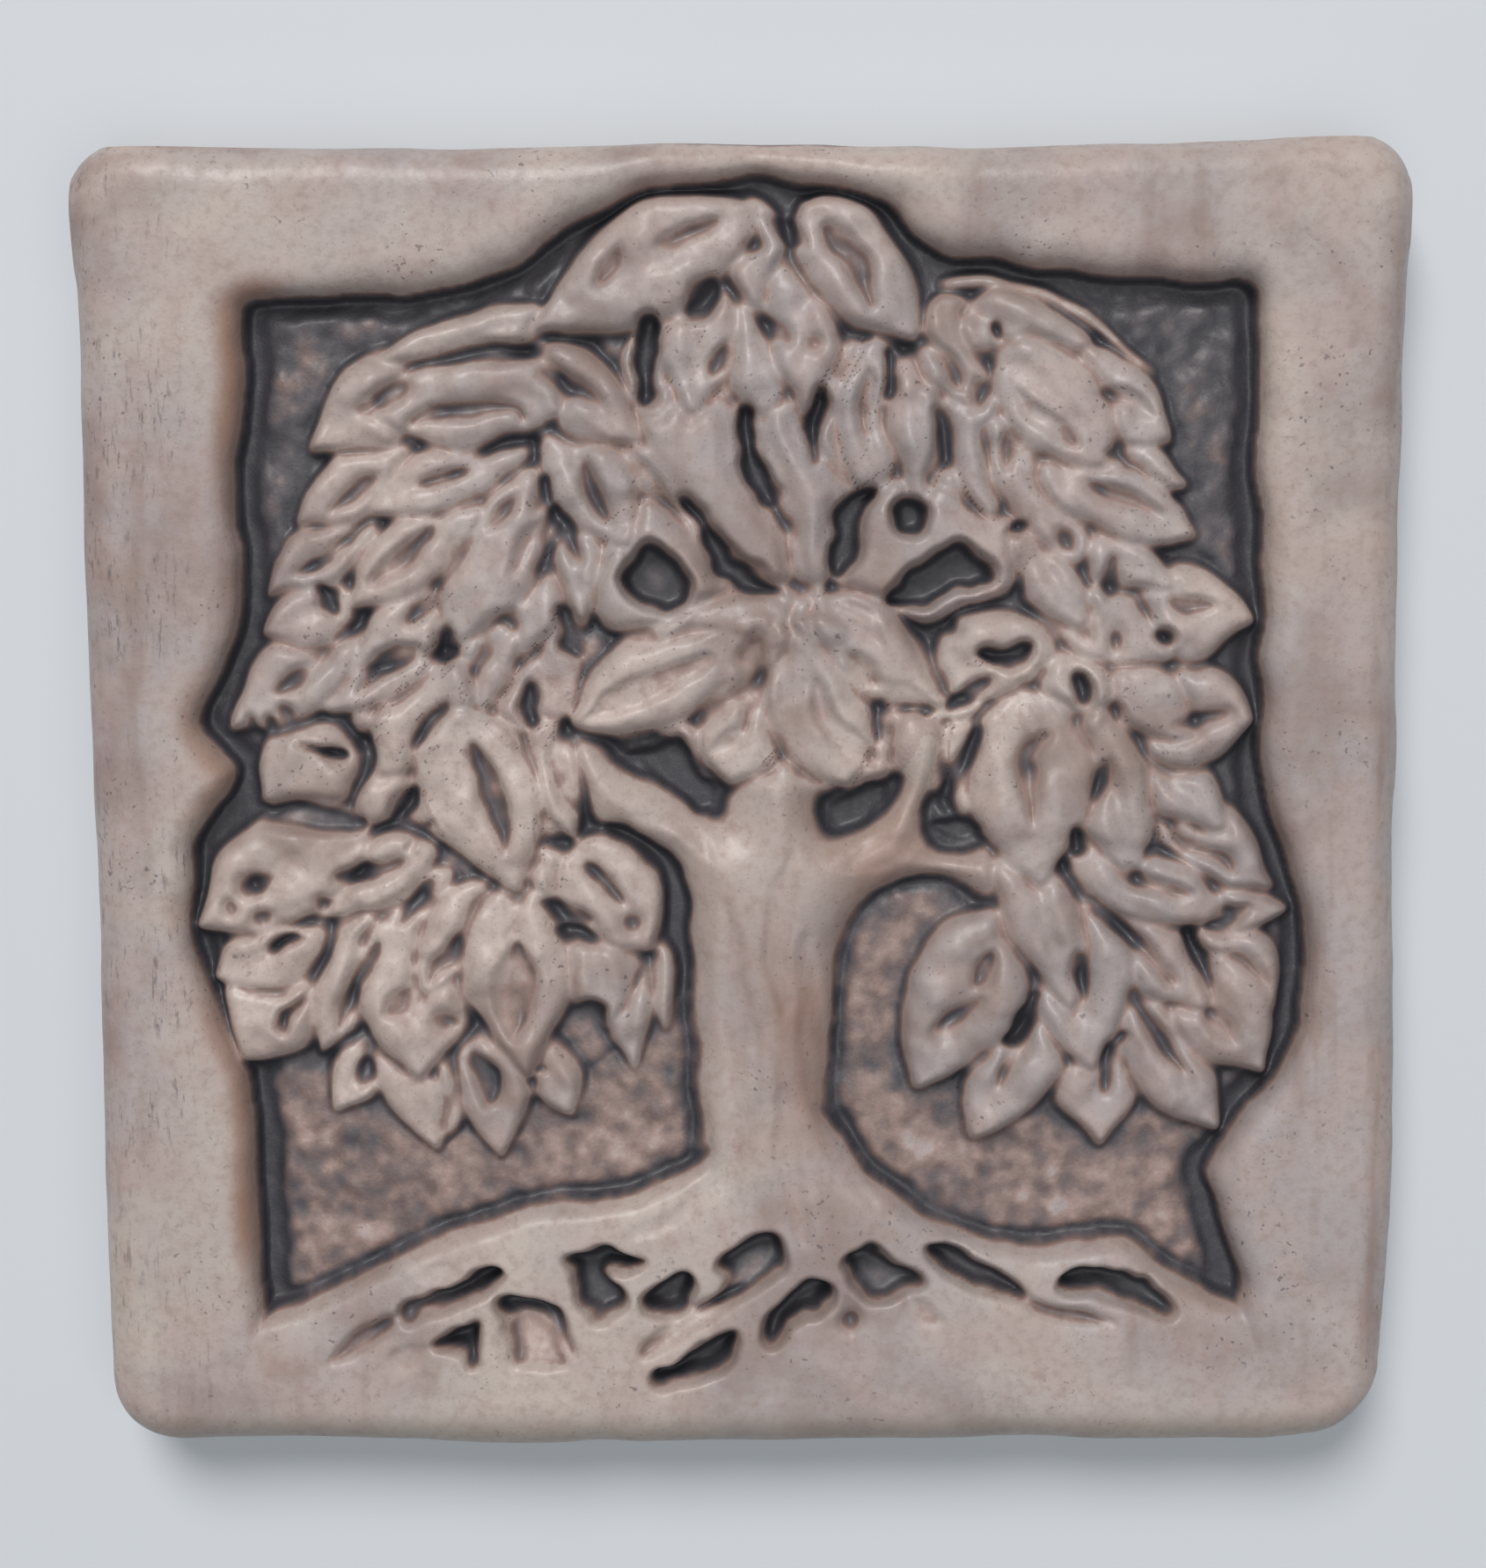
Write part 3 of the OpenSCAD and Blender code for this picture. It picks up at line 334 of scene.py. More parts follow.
# Each sprig's leaves: middle, direction, length, width, crest above the rest, and curl of the tip.
LEAVES = [
    ("leaves_edge_3", [(38.6, -12.2, 305, 9, 4.6, 0, 0), (38.3, -7.9, 355, 6.8, 3.4, 0, 0)]),
    ("leaves_edge_2", [(36.3, -2.6, 318, 11, 5.2, 0.1, 0.4), (33.2, 2.2, 315, 10, 5, 0, 0)]),
    ("leaves_edge_1", [(34.8, 7.4, 355, 8.6, 7.4, 0, 0), (34.3, 15, 352, 9.4, 6.6, 0.1, 0)]),
    ("leaves_mid_right_2", [(30.3, 9, 325, 9.5, 5.2, 0, 0), (25.6, 9.6, 285, 9, 5.4, 0, 0)]),
    ("leaves_mid_right_1", [(18, 4.5, 262, 10, 4.4, 0, 0), (17.2, 9, 215, 6.5, 3.8, 0, 0),
        (19.8, 11.8, 15, 9.4, 6.4, 0.1, 0)]),
    ("leaves_right_6", [(27.5, 14.6, 330, 11.5, 5.6, 0, 0), (28, 20, 328, 11, 5, 0, 0),
        (24, 17.5, 300, 9, 4.4, -0.1, 0)]),
    ("leaves_right_5", [(10.2, 29.8, 266, 11.5, 5, 0, 0), (13.9, 29.6, 268, 11.5, 4.6, 0, 0)]),
    ("leaves_right_3", [(18.6, 28.6, 277, 12, 5, 0, 0), (30.2, 26.8, 330, 9, 4.6, 0, 0)]),
    ("leaves_right_4", [(23, 24.5, 298, 12.5, 5, 0, 0), (29, 23.7, 332, 12.5, 5, 0.1, 0)]),
    ("leaves_right_1", [(16.4, 35.2, 285, 9, 5.4, 0, 0), (22.4, 36.2, 340, 11, 5.2, 0, 0)]),
    ("leaves_right_2", [(29.3, 31.2, 322, 9.4, 5.4, 0, 0), (24.6, 30.7, 318, 12, 6.6, 0.2, 0)]),
    ("leaves_low_right_5", [(28, -21.4, 270, 9.6, 5.8, -0.3, 0),
        (20.8, -20.8, 240, 11.5, 6.6, -0.2, 0)]),
    ("leaves_low_right_6", [(33.5, -20, 300, 12.5, 6, -0.2, 0), (37.5, -16.6, 310, 10, 6.4, 0, 0)]),
    ("leaf_low_right_4", [(17, -15, 242, 14.4, 7.8, 0.2, 0)]),
    ("leaf_low_right_2", [(30.5, -10.8, 315, 14.5, 6, 0.1, 0)]),
    ("leaf_low_right_3", [(26.4, -13.8, 275, 12.6, 7, 0.2, 0)]),
    ("leaves_low_right_1", [(31.8, -6.3, 338, 12.5, 5.2, 0.1, 0), (23.2, -9, 288, 13.5, 5.2, 0.3, 0)]),
    ("leaves_mid_right_3", [(28.6, 1, 285, 13, 5.6, 0, 0), (22.3, 1.3, 275, 14.5, 8.6, 0.3, 0)]),
    ("leaves_inner_2", [(-13, 19.5, 275, 10, 3.4, 0, 0), (-17.5, 14.5, 240, 9.5, 4.6, 0, 0),
        (-16.3, 22.6, 250, 11, 3.6, 0, 0)]),
    ("leaves_left_7", [(-28.3, 2.2, 240, 8.4, 4.6, 0, 0), (-34.2, 3.2, 215, 8.6, 7, 0, 0)]),
    ("leaves_left_8", [(-21, 10.2, 235, 10, 4.6, -0.1, 0), (-25, 7.2, 230, 11, 5.6, 0, 0)]),
    ("leaves_left_6", [(-28.3, 11.2, 215, 10.5, 5.4, 0, 0), (-35, 10.2, 220, 11.6, 5.4, 0, 0)]),
    ("leaves_left_4", [(-33.4, 15.4, 205, 7.4, 5, 0, 0), (-32.3, 20, 213, 9.6, 4.8, 0, 0)]),
    ("leaves_left_5", [(-25.5, 14.8, 225, 9.5, 5.4, 0, 0), (-19.5, 19.3, 245, 14.5, 5.6, 0.1, 0)]),
    ("leaves_left_3", [(-29.5, 25.7, 215, 10, 5, 0, 0), (-25, 20.5, 222, 12.5, 5.4, 0.1, 0)]),
    ("leaves_left_2", [(-22.5, 26.3, 205, 12.5, 5, 0, 0), (-28.3, 31.6, 213, 11, 6, 0, 0)]),
    ("leaves_inner_1", [(-11.8, 25.6, 300, 11, 5.6, 0, 0), (-12.3, 32, 325, 10.5, 5.6, 0.1, 0)]),
    ("leaves_left_1", [(-20.6, 36.6, 192, 14, 3.4, -0.1, 0), (-21, 31.9, 183, 14.6, 6.4, 0.1, 0)]),
    ("leaves_under_left", [(-15.6, -20.6, 300, 7.4, 4, -0.7, 0), (-30.6, -20.6, 240, 6.6, 3.8, -0.7, 0),
        (-23.2, -22.2, 258, 8, 3, -0.8, 0), (-26.4, -22.4, 292, 9.6, 4, -0.7, 0),
        (-20, -22, 275, 9.8, 4.8, -0.6, 0)]),
    ("leaves_near_trunk", [(-6.2, -14, 275, 6, 1.8, -0.6, 0), (-9, -15.3, 270, 10, 3.6, -0.2, 0),
        (-11.4, -12.4, 280, 9, 6.4, 0, 0), (-13.8, -6.4, 310, 8.4, 5, 0, 0),
        (-10.2, -6.8, 305, 10.6, 6.8, 0.1, 0)]),
    ("leaves_low_left_3", [(-37, -14.8, 240, 10.4, 7.6, 0, 0), (-28.3, -9, 218, 12.5, 5, 0, 0)]),
    ("leaves_low_left_2", [(-37.3, -10.8, 205, 9.4, 6, 0, 0), (-30.8, -5.6, 205, 13.5, 5, 0.1, 0)]),
    ("leaf_low_left_1", [(-36.3, -4.8, 210, 14.8, 7.8, 0.1, 0)]),
    ("leaves_low_left_4", [(-30.5, -13.6, 240, 11.5, 5, 0, 0), (-25.6, -14.2, 268, 13.2, 8.4, 0.2, 0)]),
    ("leaves_low_left_5", [(-22.6, -9.8, 245, 9.4, 4.4, 0.1, 0),
        (-17.8, -13.2, 274, 14.8, 7.4, 0.3, 0)]),
    ("leaves_inner_3", [(-14.6, 2.4, 285, 8.6, 3.8, 0, 0), (-20.3, 1, 290, 14.5, 8.4, 0.2, 0)]),
    ("leaves_crown_2", [(1.6, 35, 272, 9, 6, 0, 0), (1.5, 42.3, 280, 9, 4.4, 0.1, 0)]),
    ("leaves_crown_3", [(4.9, 36.6, 270, 13, 4.8, 0.1, 0), (9.2, 41, 308, 12.8, 6.4, 0.3, 0)]),
    ("leaves_crown_1", [(-3.2, 35.7, 262, 10.6, 5, 0, 0), (-7.2, 41.5, 208, 18, 7.4, 0.3, 0)]),
    ("leaf_heart_2", [(0.6, 8.6, 259, 14, 7.4, 0.3, 0)]),
    ("leaf_heart_3", [(6, 8.9, 285, 13.8, 7.6, 0.4, 0)]),
    ("leaf_heart_4", [(10.6, 12.3, 319, 12.5, 5.4, 0.2, 0)]),
    ("leaf_heart_1", [(-5, 11, 208, 18.4, 7.4, 0.4, 0)]),
]
for name, rows in LEAVES:
    for x, y, turn, long, wide, crest, bend in rows:
        if "heart" in name:  # broad, blunt and hardly hollowed
            leaf(name, x, y, turn, 1.06 * long, 1.12 * wide, crest, bend, dish=0.12, point=2.6)
        else:
            leaf(name, x, y, turn, 1.08 * long, 1.14 * wide, crest, bend)
height = np.maximum(blur(height, 0.25), SLAB_TOP)

# A thin thread of clay runs outside the right-hand leaves.
RIM_RISE, RIM_HALF = 1.9, 0.7
RIM = [(13.4, 40.6), (17, 40.5), (20, 39.9), (23, 39.7), (25.4, 38.6), (27.6, 36.8), (29.4, 35.4),
    (31.4, 33.9), (33.2, 32.4)]
line = rounded(RIM, closed=False)
at = patch(line, 2)
d, t = along(line, at)
thread = SLAB_TOP + RIM_RISE * shoulder(RIM_HALF - d, RIM_HALF) * smooth(8 * t * (1 - t))
lay(at, np.where(d < RIM_HALF, thread, 0), "leaves_right_1")

# --- Border ----------------------------------------------------------------------------------
# The border is a slab frame with a hand-cut window: its inner lip is cut round the tree with a
# knife and rubbed soft, and its outer edge is rounded over with a damp sponge, never quite true.

CORNER = 5.5
EDGE = 3.0
wobble = 0.1 * cloud(9, 11) + 0.02 * cloud(2, 12)
lip = np.maximum(-hollow, 0)
top = SLAB_TOP + (BORDER_TOP - SLAB_TOP) * (0.3 * shoulder(lip, 0.9) + 0.7 * shoulder(lip, 2.6))
side = HALF - 0.25 + wobble
ax = np.maximum(np.abs(TRUE_X) - (side - CORNER), 0)
ay = np.maximum(np.abs(TRUE_Y) - (side - CORNER), 0)
deep = CORNER - np.hypot(ax, ay)
deep = np.where((ax == 0) | (ay == 0), np.minimum(side - np.abs(TRUE_X), side - np.abs(TRUE_Y)), deep)
fall = EDGE - np.sqrt(np.maximum(0, EDGE ** 2 - np.clip(EDGE - deep, 0, EDGE) ** 2))
frame_top = top - fall + 0.05 * cloud(3, 13)
lay(everywhere, np.where(hollow < 0, frame_top, 0), "border")
outer = deep < EDGE + 0.3
height = np.where(outer, frame_top, height)
owner = np.where(outer, names.index("border"), owner)
bare = deep <= 0

# --- Cuts ------------------------------------------------------------------------------------
# The veins, the gaps between boughs and the pits between roots are drawn with a loop tool while
# the clay is leather hard. The tool leaves a rounded floor and drags the clay beside it down.

ragged = 0.2 * cloud(0.9, 41) + 0.1 * cloud(0.45, 42)


def draw(points, wide, depth):
    """A stroke of the tool, wide mm across and depth mm deep, with a shallow valley round it."""
    line = rounded(points, closed=False) if len(points) > 2 else np.array(points, float)
    at = patch(line, 1.5 + 1.5 * wide)
    d, t = along(line, at)
    d = d + np.minimum(0.3 * wide, 0.6) * ragged[at]
    taper = 0.3 + 0.7 * np.sin(math.pi * np.clip(t, 0, 1)) ** 0.8
    cut = 0.7 * smooth((0.5 * wide * taper - d) / 0.9 + 0.5)
    valley = 0.3 * np.exp(-((d / wide) ** 2)) * taper
    height[at] = np.maximum(height[at] - depth * (cut + valley), SLAB_TOP + 0.05)


def dig(points, floor, wall, rise=0.0):
    """A pit down to floor mm above the slab; its floor may rise towards the tile's foot."""
    line = rounded(points)
    at = patch(line, 2.5)
    d = within(line, at) + ragged[at]
    ramp = np.clip((0.45 - d) / wall, 0, 1)
    floor = floor + rise * np.maximum(line[:, 1].max() - Y[at], 0)
    sides = SLAB_TOP + floor + 4.5 * ramp ** 1.3 - 0.3 * smooth(d)
    height[at] = np.minimum(height[at], sides)


GAPS = [
    [(-6.5, 38.5), (-8.7, 34.2), (-7.9, 31), (-6.4, 32.2), (-6.1, 36.5)],
    [(-0.2, 31.2), (-0.4, 28), (0.8, 25.3), (2.4, 22.6), (3.4, 23.2), (2, 26), (1.1, 28.5), (1.2, 31)],
    [(6.3, 33.2), (3.8, 29), (6, 25.8), (6.9, 30)],
    [(-5.4, 24), (-3, 20.6), (-1.2, 18), (1, 16.3), (3.6, 16.6), (1.4, 17.8), (0.1, 19.3),
        (-2.4, 22.6), (-4.4, 24.6)],
    [(8.2, 24.6), (7, 22.2), (6.6, 18.2), (8, 18), (9, 20.4), (9.8, 23.6), (10, 24.8)],
    [(11.9, 23.2), (12.6, 24), (14.2, 23.3), (14.2, 21.6), (12.6, 20.9), (11.8, 21.6)],
    [(10.8, 15.9), (13.5, 18.2), (16.4, 21.4), (18.6, 20), (19.5, 18), (17, 16.4), (13.5, 15.4)],
    [(-9.3, 16.8), (-8.9, 19), (-7.9, 21.3), (-6.6, 20.7), (-4.9, 18.9), (-4.7, 16.4), (-7.2, 15.4)],
    [(-10.9, 4.4), (-9.6, 2.9), (-5, 0.7), (-1.8, -1.3), (-1, 1.4), (-3.8, 3), (-4.8, 5.6),
        (-7.4, 4.6)],
    [(6, 0.6), (7.1, -2.1), (9.6, -1.1), (12.4, 1.6), (11.6, 2.5), (10, 3), (8, 1.6)],
    [(13.7, -1.6), (15, -0.7), (17.5, -0.7), (18.9, -2), (18, -3.3), (15.5, -3.1)],
    [(-15, 15.6), (-13.8, 16.2), (-11.8, 12), (-14, 11.5)],
    [(-16.5, 10.7), (-18.3, 8), (-16.4, 5.8), (-15.2, 8)],
    [(-14.3, -15), (-10.7, -15), (-10.2, -17.2), (-12, -17.4), (-14.5, -17.1)],
    [(10.6, 35.2), (12.3, 35.4), (12.3, 31.4), (10.9, 31.6)],
    [(25.4, -0.8), (25.2, -4.7), (27.1, -4.2), (26.9, -2.4)],
    [(22.9, -14.1), (21, -16.4), (19.8, -18), (21.5, -18.5), (22.7, -17)],
    [(31.4, 13.4), (32.4, 14.4), (33.6, 13.6), (33.2, 12.4), (32, 12.2)],
    [(18, 11.8), (19.5, 12.8), (22, 12.2), (21.6, 11), (19.8, 10.7)],
    [(24.9, 10.5), (27.1, 11.1), (26.9, 8), (25.3, 7.8)],
    [(-34.8, 5.9), (-30.6, 5), (-31, 4), (-34, 4.6)],
    [(-37.2, -16.6), (-36.5, -14.8), (-33.4, -13.3), (-33.5, -15), (-35.5, -15.9), (-36.3, -17.1)],
    [(-37.7, -10.9), (-36, -9.3), (-34.1, -10.5), (-36, -11.1)],
    [(-24.1, 0.3), (-24.8, -2.6), (-26.4, -3.3), (-25.9, -1)],
    [(-17.7, -20.6), (-15.3, -19.1), (-15, -21.4)],
    [(27.8, -19.2), (28.3, -19.9), (30, -18.2), (29.4, -17.7)],
    [(19.1, 37.5), (20.2, 34.7), (21.4, 35.4)],
]
BETWEEN_BOUGHS, UNDER_HEART = 8, 11
for k, points in enumerate(GAPS):
    if k < BETWEEN_BOUGHS:
        dig(points, 0.7, 1.3)
    elif k < UNDER_HEART:
        dig(points, 0.4, 0.9)
    else:
        dig(points, 1.3, 1.3)

# Each pit: how fast its floor rises towards the foot of the tile, and its outline.
PITS = [
    (0.5, [(-19.2, -36.2), (-21, -36.6), (-24, -38), (-27, -39), (-27.9, -40.2), (-26.6, -40.9),
        (-25, -39.6), (-22.6, -38.9), (-20.5, -37.6)]),
    (0.45, [(-20.8, -40.4), (-23.2, -41.5), (-25.2, -42.6), (-22.4, -42.6), (-21.8, -44.2),
        (-20.8, -43.8)]),
    (0.6, [(-19.8, -39.4), (-18, -38.4), (-16.2, -38.2), (-15.2, -38.7), (-14.2, -40.3),
        (-12.9, -43.5), (-13.6, -44), (-15, -42.2), (-16, -41), (-17.4, -41), (-18.6, -40.6)]),
    (0.25, [(-14.6, -35.3), (-12, -35.2), (-7.9, -35.1), (-8.4, -36.2), (-11.2, -36.5),
        (-10.8, -38), (-9.6, -38.5), (-9.1, -39.5), (-10.4, -40.6), (-11.7, -40.4), (-12.7, -38.6),
        (-13.5, -36.8)]),
    (0.15, [(-4.2, -36.5), (-6, -37.3), (-7.8, -38.8), (-7.1, -39.8), (-4.7, -39.7), (-4.2, -38.4)]),
    (0.5, [(-2.4, -35.6), (-0.6, -34.4), (2.5, -33.9), (2.7, -35.8), (1.2, -36.8), (-0.2, -38.3),
        (-2, -39.5), (-3.7, -40.5), (-4.3, -39.4), (-2.5, -38.2), (-1.2, -36.9)]),
    (0.15, [(-1.1, -41.2), (-2.7, -41.9), (-4.5, -43.5), (-7.5, -45), (-7.1, -45.8), (-5, -45.5),
        (-2.6, -44.1), (-0.9, -43.7), (-0.7, -42)]),
    (0.2, [(5.5, -37.2), (4.1, -37.9), (2.5, -39.5), (1.3, -41.4), (1.6, -42.9), (2.7, -42.3),
        (3.9, -40.5), (5.7, -39.6), (6.4, -38.4)]),
    (0.4, [(6.9, -35.3), (8.6, -34.6), (10.4, -34.9), (11.4, -35.9), (12.9, -36.3), (14, -38.1),
        (12, -38.2), (10.2, -38.9), (8.7, -39), (7.8, -37)]),
    (0.3, [(13.4, -34.3), (15, -34.8), (17.2, -35.7), (20.9, -37.5), (21.6, -38.8), (17.4, -37.8),
        (15.2, -36.7)]),
    (0.4, [(24.6, -36.7), (28, -36.6), (31, -37.8), (33.8, -40), (30.3, -39.4), (27.5, -38.3),
        (24.8, -37.9)]),
]
PIT_FLOOR, PIT_WALL = 0.5, 1.25
for rise, points in PITS:
    dig(points, PIT_FLOOR, PIT_WALL, rise)
SCOOP = [(-18.4, -40), (-15.4, -40), (-13.4, -44.6), (-16, -44.4), (-18.8, -44.8)]
dig(SCOOP, 1.6, 2.2, 0.4)

# The leaf that crowns the trunk is folded: soft valleys run from its stalk to its lobes.
FOLDS = [
    (2.3, 1.1, [(-12.6, 6.9), (-8.5, 9), (-5, 10.6), (-2.5, 11.6)]),
    (1.9, 1.2, [(1.1, 14.2), (0.9, 10), (0.6, 6.2)]),
    (1.9, 1.1, [(5.6, 10), (6.7, 7.2), (8.3, 5), (10, 4)]),
    (1.5, 1.2, [(8.2, 12), (9.2, 11.1), (10.4, 10.2)]),
    (1.8, 0.6, [(10.2, 10.4), (12.5, 9), (14.5, 7.4)]),
    (2.2, 0.7, [(0.2, 10.2), (-1.4, 8.4), (-3, 7), (-4.7, 6)]),
    (2.6, 0.4, [(4.3, 12.6), (3.6, 10), (3.2, 8.4)]),
    (1.6, 0.7, [(0.6, 6.4), (-0.6, 5.2), (-2.3, 4.3)]),
    (1.7, 0.9, [(10.9, 8.6), (10.9, 6.4), (11.3, 4)]),
    (1.8, 0.7, [(6.8, 16.3), (9.2, 14.8), (10.5, 12.8)]),
    (1.3, 1.0, [(12.5, 15.2), (14, 12.6), (15.1, 9.4)]),
    (1.1, 0.9, [(-6.5, 13.3), (-4, 13.9), (-1.8, 14)]),
    (1.5, 0.6, [(-9.4, 12.4), (-8, 13), (-6.6, 13)]),
]
SOFTENED = 0.8
for wide, depth, points in FOLDS:
    draw(points, wide, SOFTENED * depth)

STROKES = [
    [(-1.3, 45.4), (-5.8, 43.2)], [(-9, 43.3), (-10.6, 40.5)], [(-1.7, 40.7), (-3.8, 37.7)],
    [(6.7, 44.5), (9, 42), (10.3, 38.8)], [(2.2, 45.5), (5, 43.7)], [(-1.2, 35.7), (-2.3, 33.4)],
    [(1.4, 37.6), (3.8, 35.8)], [(-28.2, 31.5), (-25.6, 33)],
    [(-25.4, 30.5), (-24, 31.2), (-17.4, 31.2), (-16.8, 30.4)], [(-20, 28), (-16.2, 28.5)],
    [(-31.1, 23.7), (-27.6, 26.4)], [(-24.3, 25.4), (-21, 26.7)],
    [(-34, 18.3), (-31, 19.5), (-28.8, 22.6)], [(-28, 18), (-23.5, 22.2)],
    [(-17.2, 24.4), (-19.3, 21.6)], [(-32.4, 16), (-31.4, 16.8)], [(-25.6, 14.9), (-23.8, 16.6)],
    [(-35.6, 9.4), (-31.6, 12.4)], [(-29.6, 9.4), (-27, 12), (-25.2, 12.6)], [(-23, 8.3), (-25.4, 5.3)],
    [(-27, 0), (-25.5, 2)], [(-15, 33.8), (-11.4, 31.7)], [(-12, 26.5), (-10.5, 22.9)],
    [(-14.5, 23.8), (-18, 18.8)], [(-14.6, 23.6), (-12.6, 19.6)], [(-15.3, 26), (-16, 23.4)],
    [(-18, 15.5), (-20.5, 11)], [(-20.9, 4.9), (-20, 2), (-19, -1), (-18.7, -3)],
    [(-14, 6.6), (-14.3, 3), (-13.1, 0)], [(-24.5, 34.5), (-22, 35.3), (-15, 35.4)],
    [(-29.3, 5.5), (-29.2, 4), (-30.8, 1)], [(-22.8, 11.6), (-22.7, 14)], [(-38.5, -5.5), (-37, -5)],
    [(-26.4, -3.9), (-28.5, -5), (-31.6, -5.2)], [(-24.4, -5.6), (-26.6, -8.6)],
    [(-28.4, -10.3), (-31.6, -17)], [(-26, -14), (-27.6, -15.6)], [(-22.5, -9.8), (-24, -13.2)],
    [(-30, -19.6), (-30.3, -21.6)], [(-21.5, -19), (-20.3, -22.9)], [(-12.5, -4), (-9.4, -7.3)],
    [(-15.9, -7.2), (-12, -8.8)], [(-14.6, -9.4), (-12, -10.6)],
    [(13.5, 36), (16.3, 34.3), (16.6, 32.2)], [(18, 33.1), (18.5, 30.7)],
    [(28, 32), (30, 31.5), (31.8, 30)], [(21.2, 31.6), (22.5, 30), (26, 28)],
    [(28.2, 27.6), (29.4, 27)], [(26.4, 25.4), (29, 24.2), (32, 22.5)], [(24.4, 21.6), (25.4, 19.9)],
    [(28.3, 19.6), (28.5, 16)], [(20.3, 28.6), (20.5, 26.4)], [(15.2, 30.5), (15.8, 28.5), (14.4, 25)],
    [(9.7, 33.2), (9.8, 29.2)], [(33.2, 7), (37.2, 7.2)], [(33, 16), (36, 15.5)],
    [(32.6, -1), (33.5, -2.5), (37.5, -4), (38, -5)], [(36.2, -9.3), (39, -7.9)],
    [(16.2, 8), (18.8, 9.9)], [(23.3, 5.9), (21.3, 4), (22, 2.5), (22.3, -1)], [(28, 3.6), (27, 0.7)],
    [(18.5, 6), (16.5, 3), (15.8, 0)], [(29.9, -4.4), (31, -6), (34.6, -6.9)],
    [(27, -8), (30.5, -10.5), (32.9, -13.9)], [(25.6, -11.4), (26.3, -14.6)],
    [(19.6, -11.4), (18, -13.3)], [(18.5, -14.5), (15.2, -17.2)],
    [(22, -16.5), (21.3, -19), (20.3, -21.8)], [(28.2, -18.5), (28.4, -22.4)],
    [(30.8, -15.8), (32.5, -18.5), (34.5, -20.8)], [(36, -16.4), (38.3, -18.6)],
    [(34.3, -10), (35.5, -12), (36, -14.1)],
    [(-10.3, -1.4), (-8, -3), (-6.2, -5), (-5.3, -8), (-4.8, -12)], [(-37.2, -0.5), (-30.2, -0.9)],
    [(-0.6, -38), (-4, -40), (-8, -43)], [(21, -38), (24, -40), (28.6, -40.8)],
    [(-28, -40.5), (-33, -43.4)], [(28.6, 7.8), (29.2, 7.7)], [(21, 21.7), (21.3, 21.2)],
]
# The strokes that are wider than the rest, by their place in the list.
WIDE = {2: 1.6, 3: 1.3, 8: 0.9, 13: 1.2, 15: 1.6, 17: 1.4, 18: 1.6, 27: 1.6, 39: 1.6, 53: 1.2, 58: 1.4,
    65: 1.3, 67: 1.5, 72: 1.6, 73: 1.9, 74: 1.5}
STROKE_WIDE, SHALLOWEST, BLADE = 1.05, 0.9, 1.25
chance = random.Random(5)
for k, points in enumerate(STROKES):
    wide = WIDE.get(k, STROKE_WIDE)
    deep_cut = SHALLOWEST + 0.4 * chance.random() + 0.3 * (wide > 1.5)
    draw(points, wide * BLADE, deep_cut)
THUMBED = [(-18.3, -17.6), (-18.2, -14), (-18, -11)]
draw(THUMBED, 3.2, 1.1)

GROOVES = [
    [(-25.2, -42.6), (-27.2, -43.4), (-28.6, -43.4)], [(-18.7, -40.8), (-18.2, -43), (-18, -45)],
    [(7.4, -38.8), (8, -40.4), (8.2, -41.6)], [(12.4, -38.4), (13, -39.6), (15, -40.4)],
    [(-22.6, -36.4), (-25, -36.8)], [(-27.6, -40.4), (-29.6, -41.6)],
    [(-1.2, -8), (-0.8, -15), (-0.9, -23)], [(3.4, -3.5), (2.6, -8), (2.9, -16)],
    [(5, -10), (5, -19), (6.2, -26), (9.5, -31)], [(0.8, -17), (0.2, -25), (-3.4, -31.6), (-9, -33)],
    [(2.8, -22), (3.2, -29), (4.2, -33.5)], [(-2.6, -4), (-4, -1.8), (-8, -0.4)],
    [(8, -4.6), (10.5, -3), (13, -2.6)],
]
GROOVE_WIDE, GROOVE_DEEP = 1.8, 0.38
for points in GROOVES:
    draw(points, GROOVE_WIDE, GROOVE_DEEP)

# Where a round tool end was pushed in, and how far across.
DENTS = [(-8.7, -9, 0.9), (-38.5, -5.5, 0.9), (-40.3, -7.3, 0.7), (-38, -8, 0.8), (-33, -7.3, 0.7),
    (-23.3, -16.3, 1.0), (-38, 6.8, 0.6), (-36.4, 7, 0.5), (-35, 7.9, 0.7), (1.5, 43.3, 0.7),
    (5.7, 35.8, 0.7), (28.8, 12.7, 0.8), (16.5, 13.8, 0.7), (7.8, -40.5, 0.8), (-15, -2.2, 0.9)]
DENT_DEEP = 0.9
for x, y, radius in DENTS:
    at = patch([(x, y)], 3)
    height[at] -= DENT_DEEP * np.exp(-(((X[at] - x) ** 2 + (Y[at] - y) ** 2) / radius ** 2) ** 1.3)

# What the hand leaves: everything is rubbed a little soft, and no surface is quite even.
height = blur(height, 0.18)
stands = smooth((height - SLAB_TOP - 0.3) / 0.5)
on_heart = np.isin(owner, [k for k, name in enumerate(names) if name.startswith("leaf_heart")])
on_leaf = np.isin(owner, [k for k, name in enumerate(names) if name.startswith(("lea", "bed"))])
pinched = blur((on_leaf & (height > SLAB_TOP + 1.5)).astype(np.float32), 0.6)
height += stands * (0.05 * cloud(2.2, 21) + 0.015 * cloud(0.8, 22))
calmer = 1 - 0.5 * blur(on_heart.astype(np.float32), 0.6)
height += pinched * calmer * (0.22 * cloud(1.5, 23) + 0.1 * cloud(0.6, 24))
height = np.clip(height, SLAB_TOP + 0.02, None)

# --- Wash ------------------------------------------------------------------------------------
# A dark slate wash is brushed over the fired tile and wiped off again, so that it stays in the
# cuts and the recess. It is worked out from how far each spot lies below what is round it.

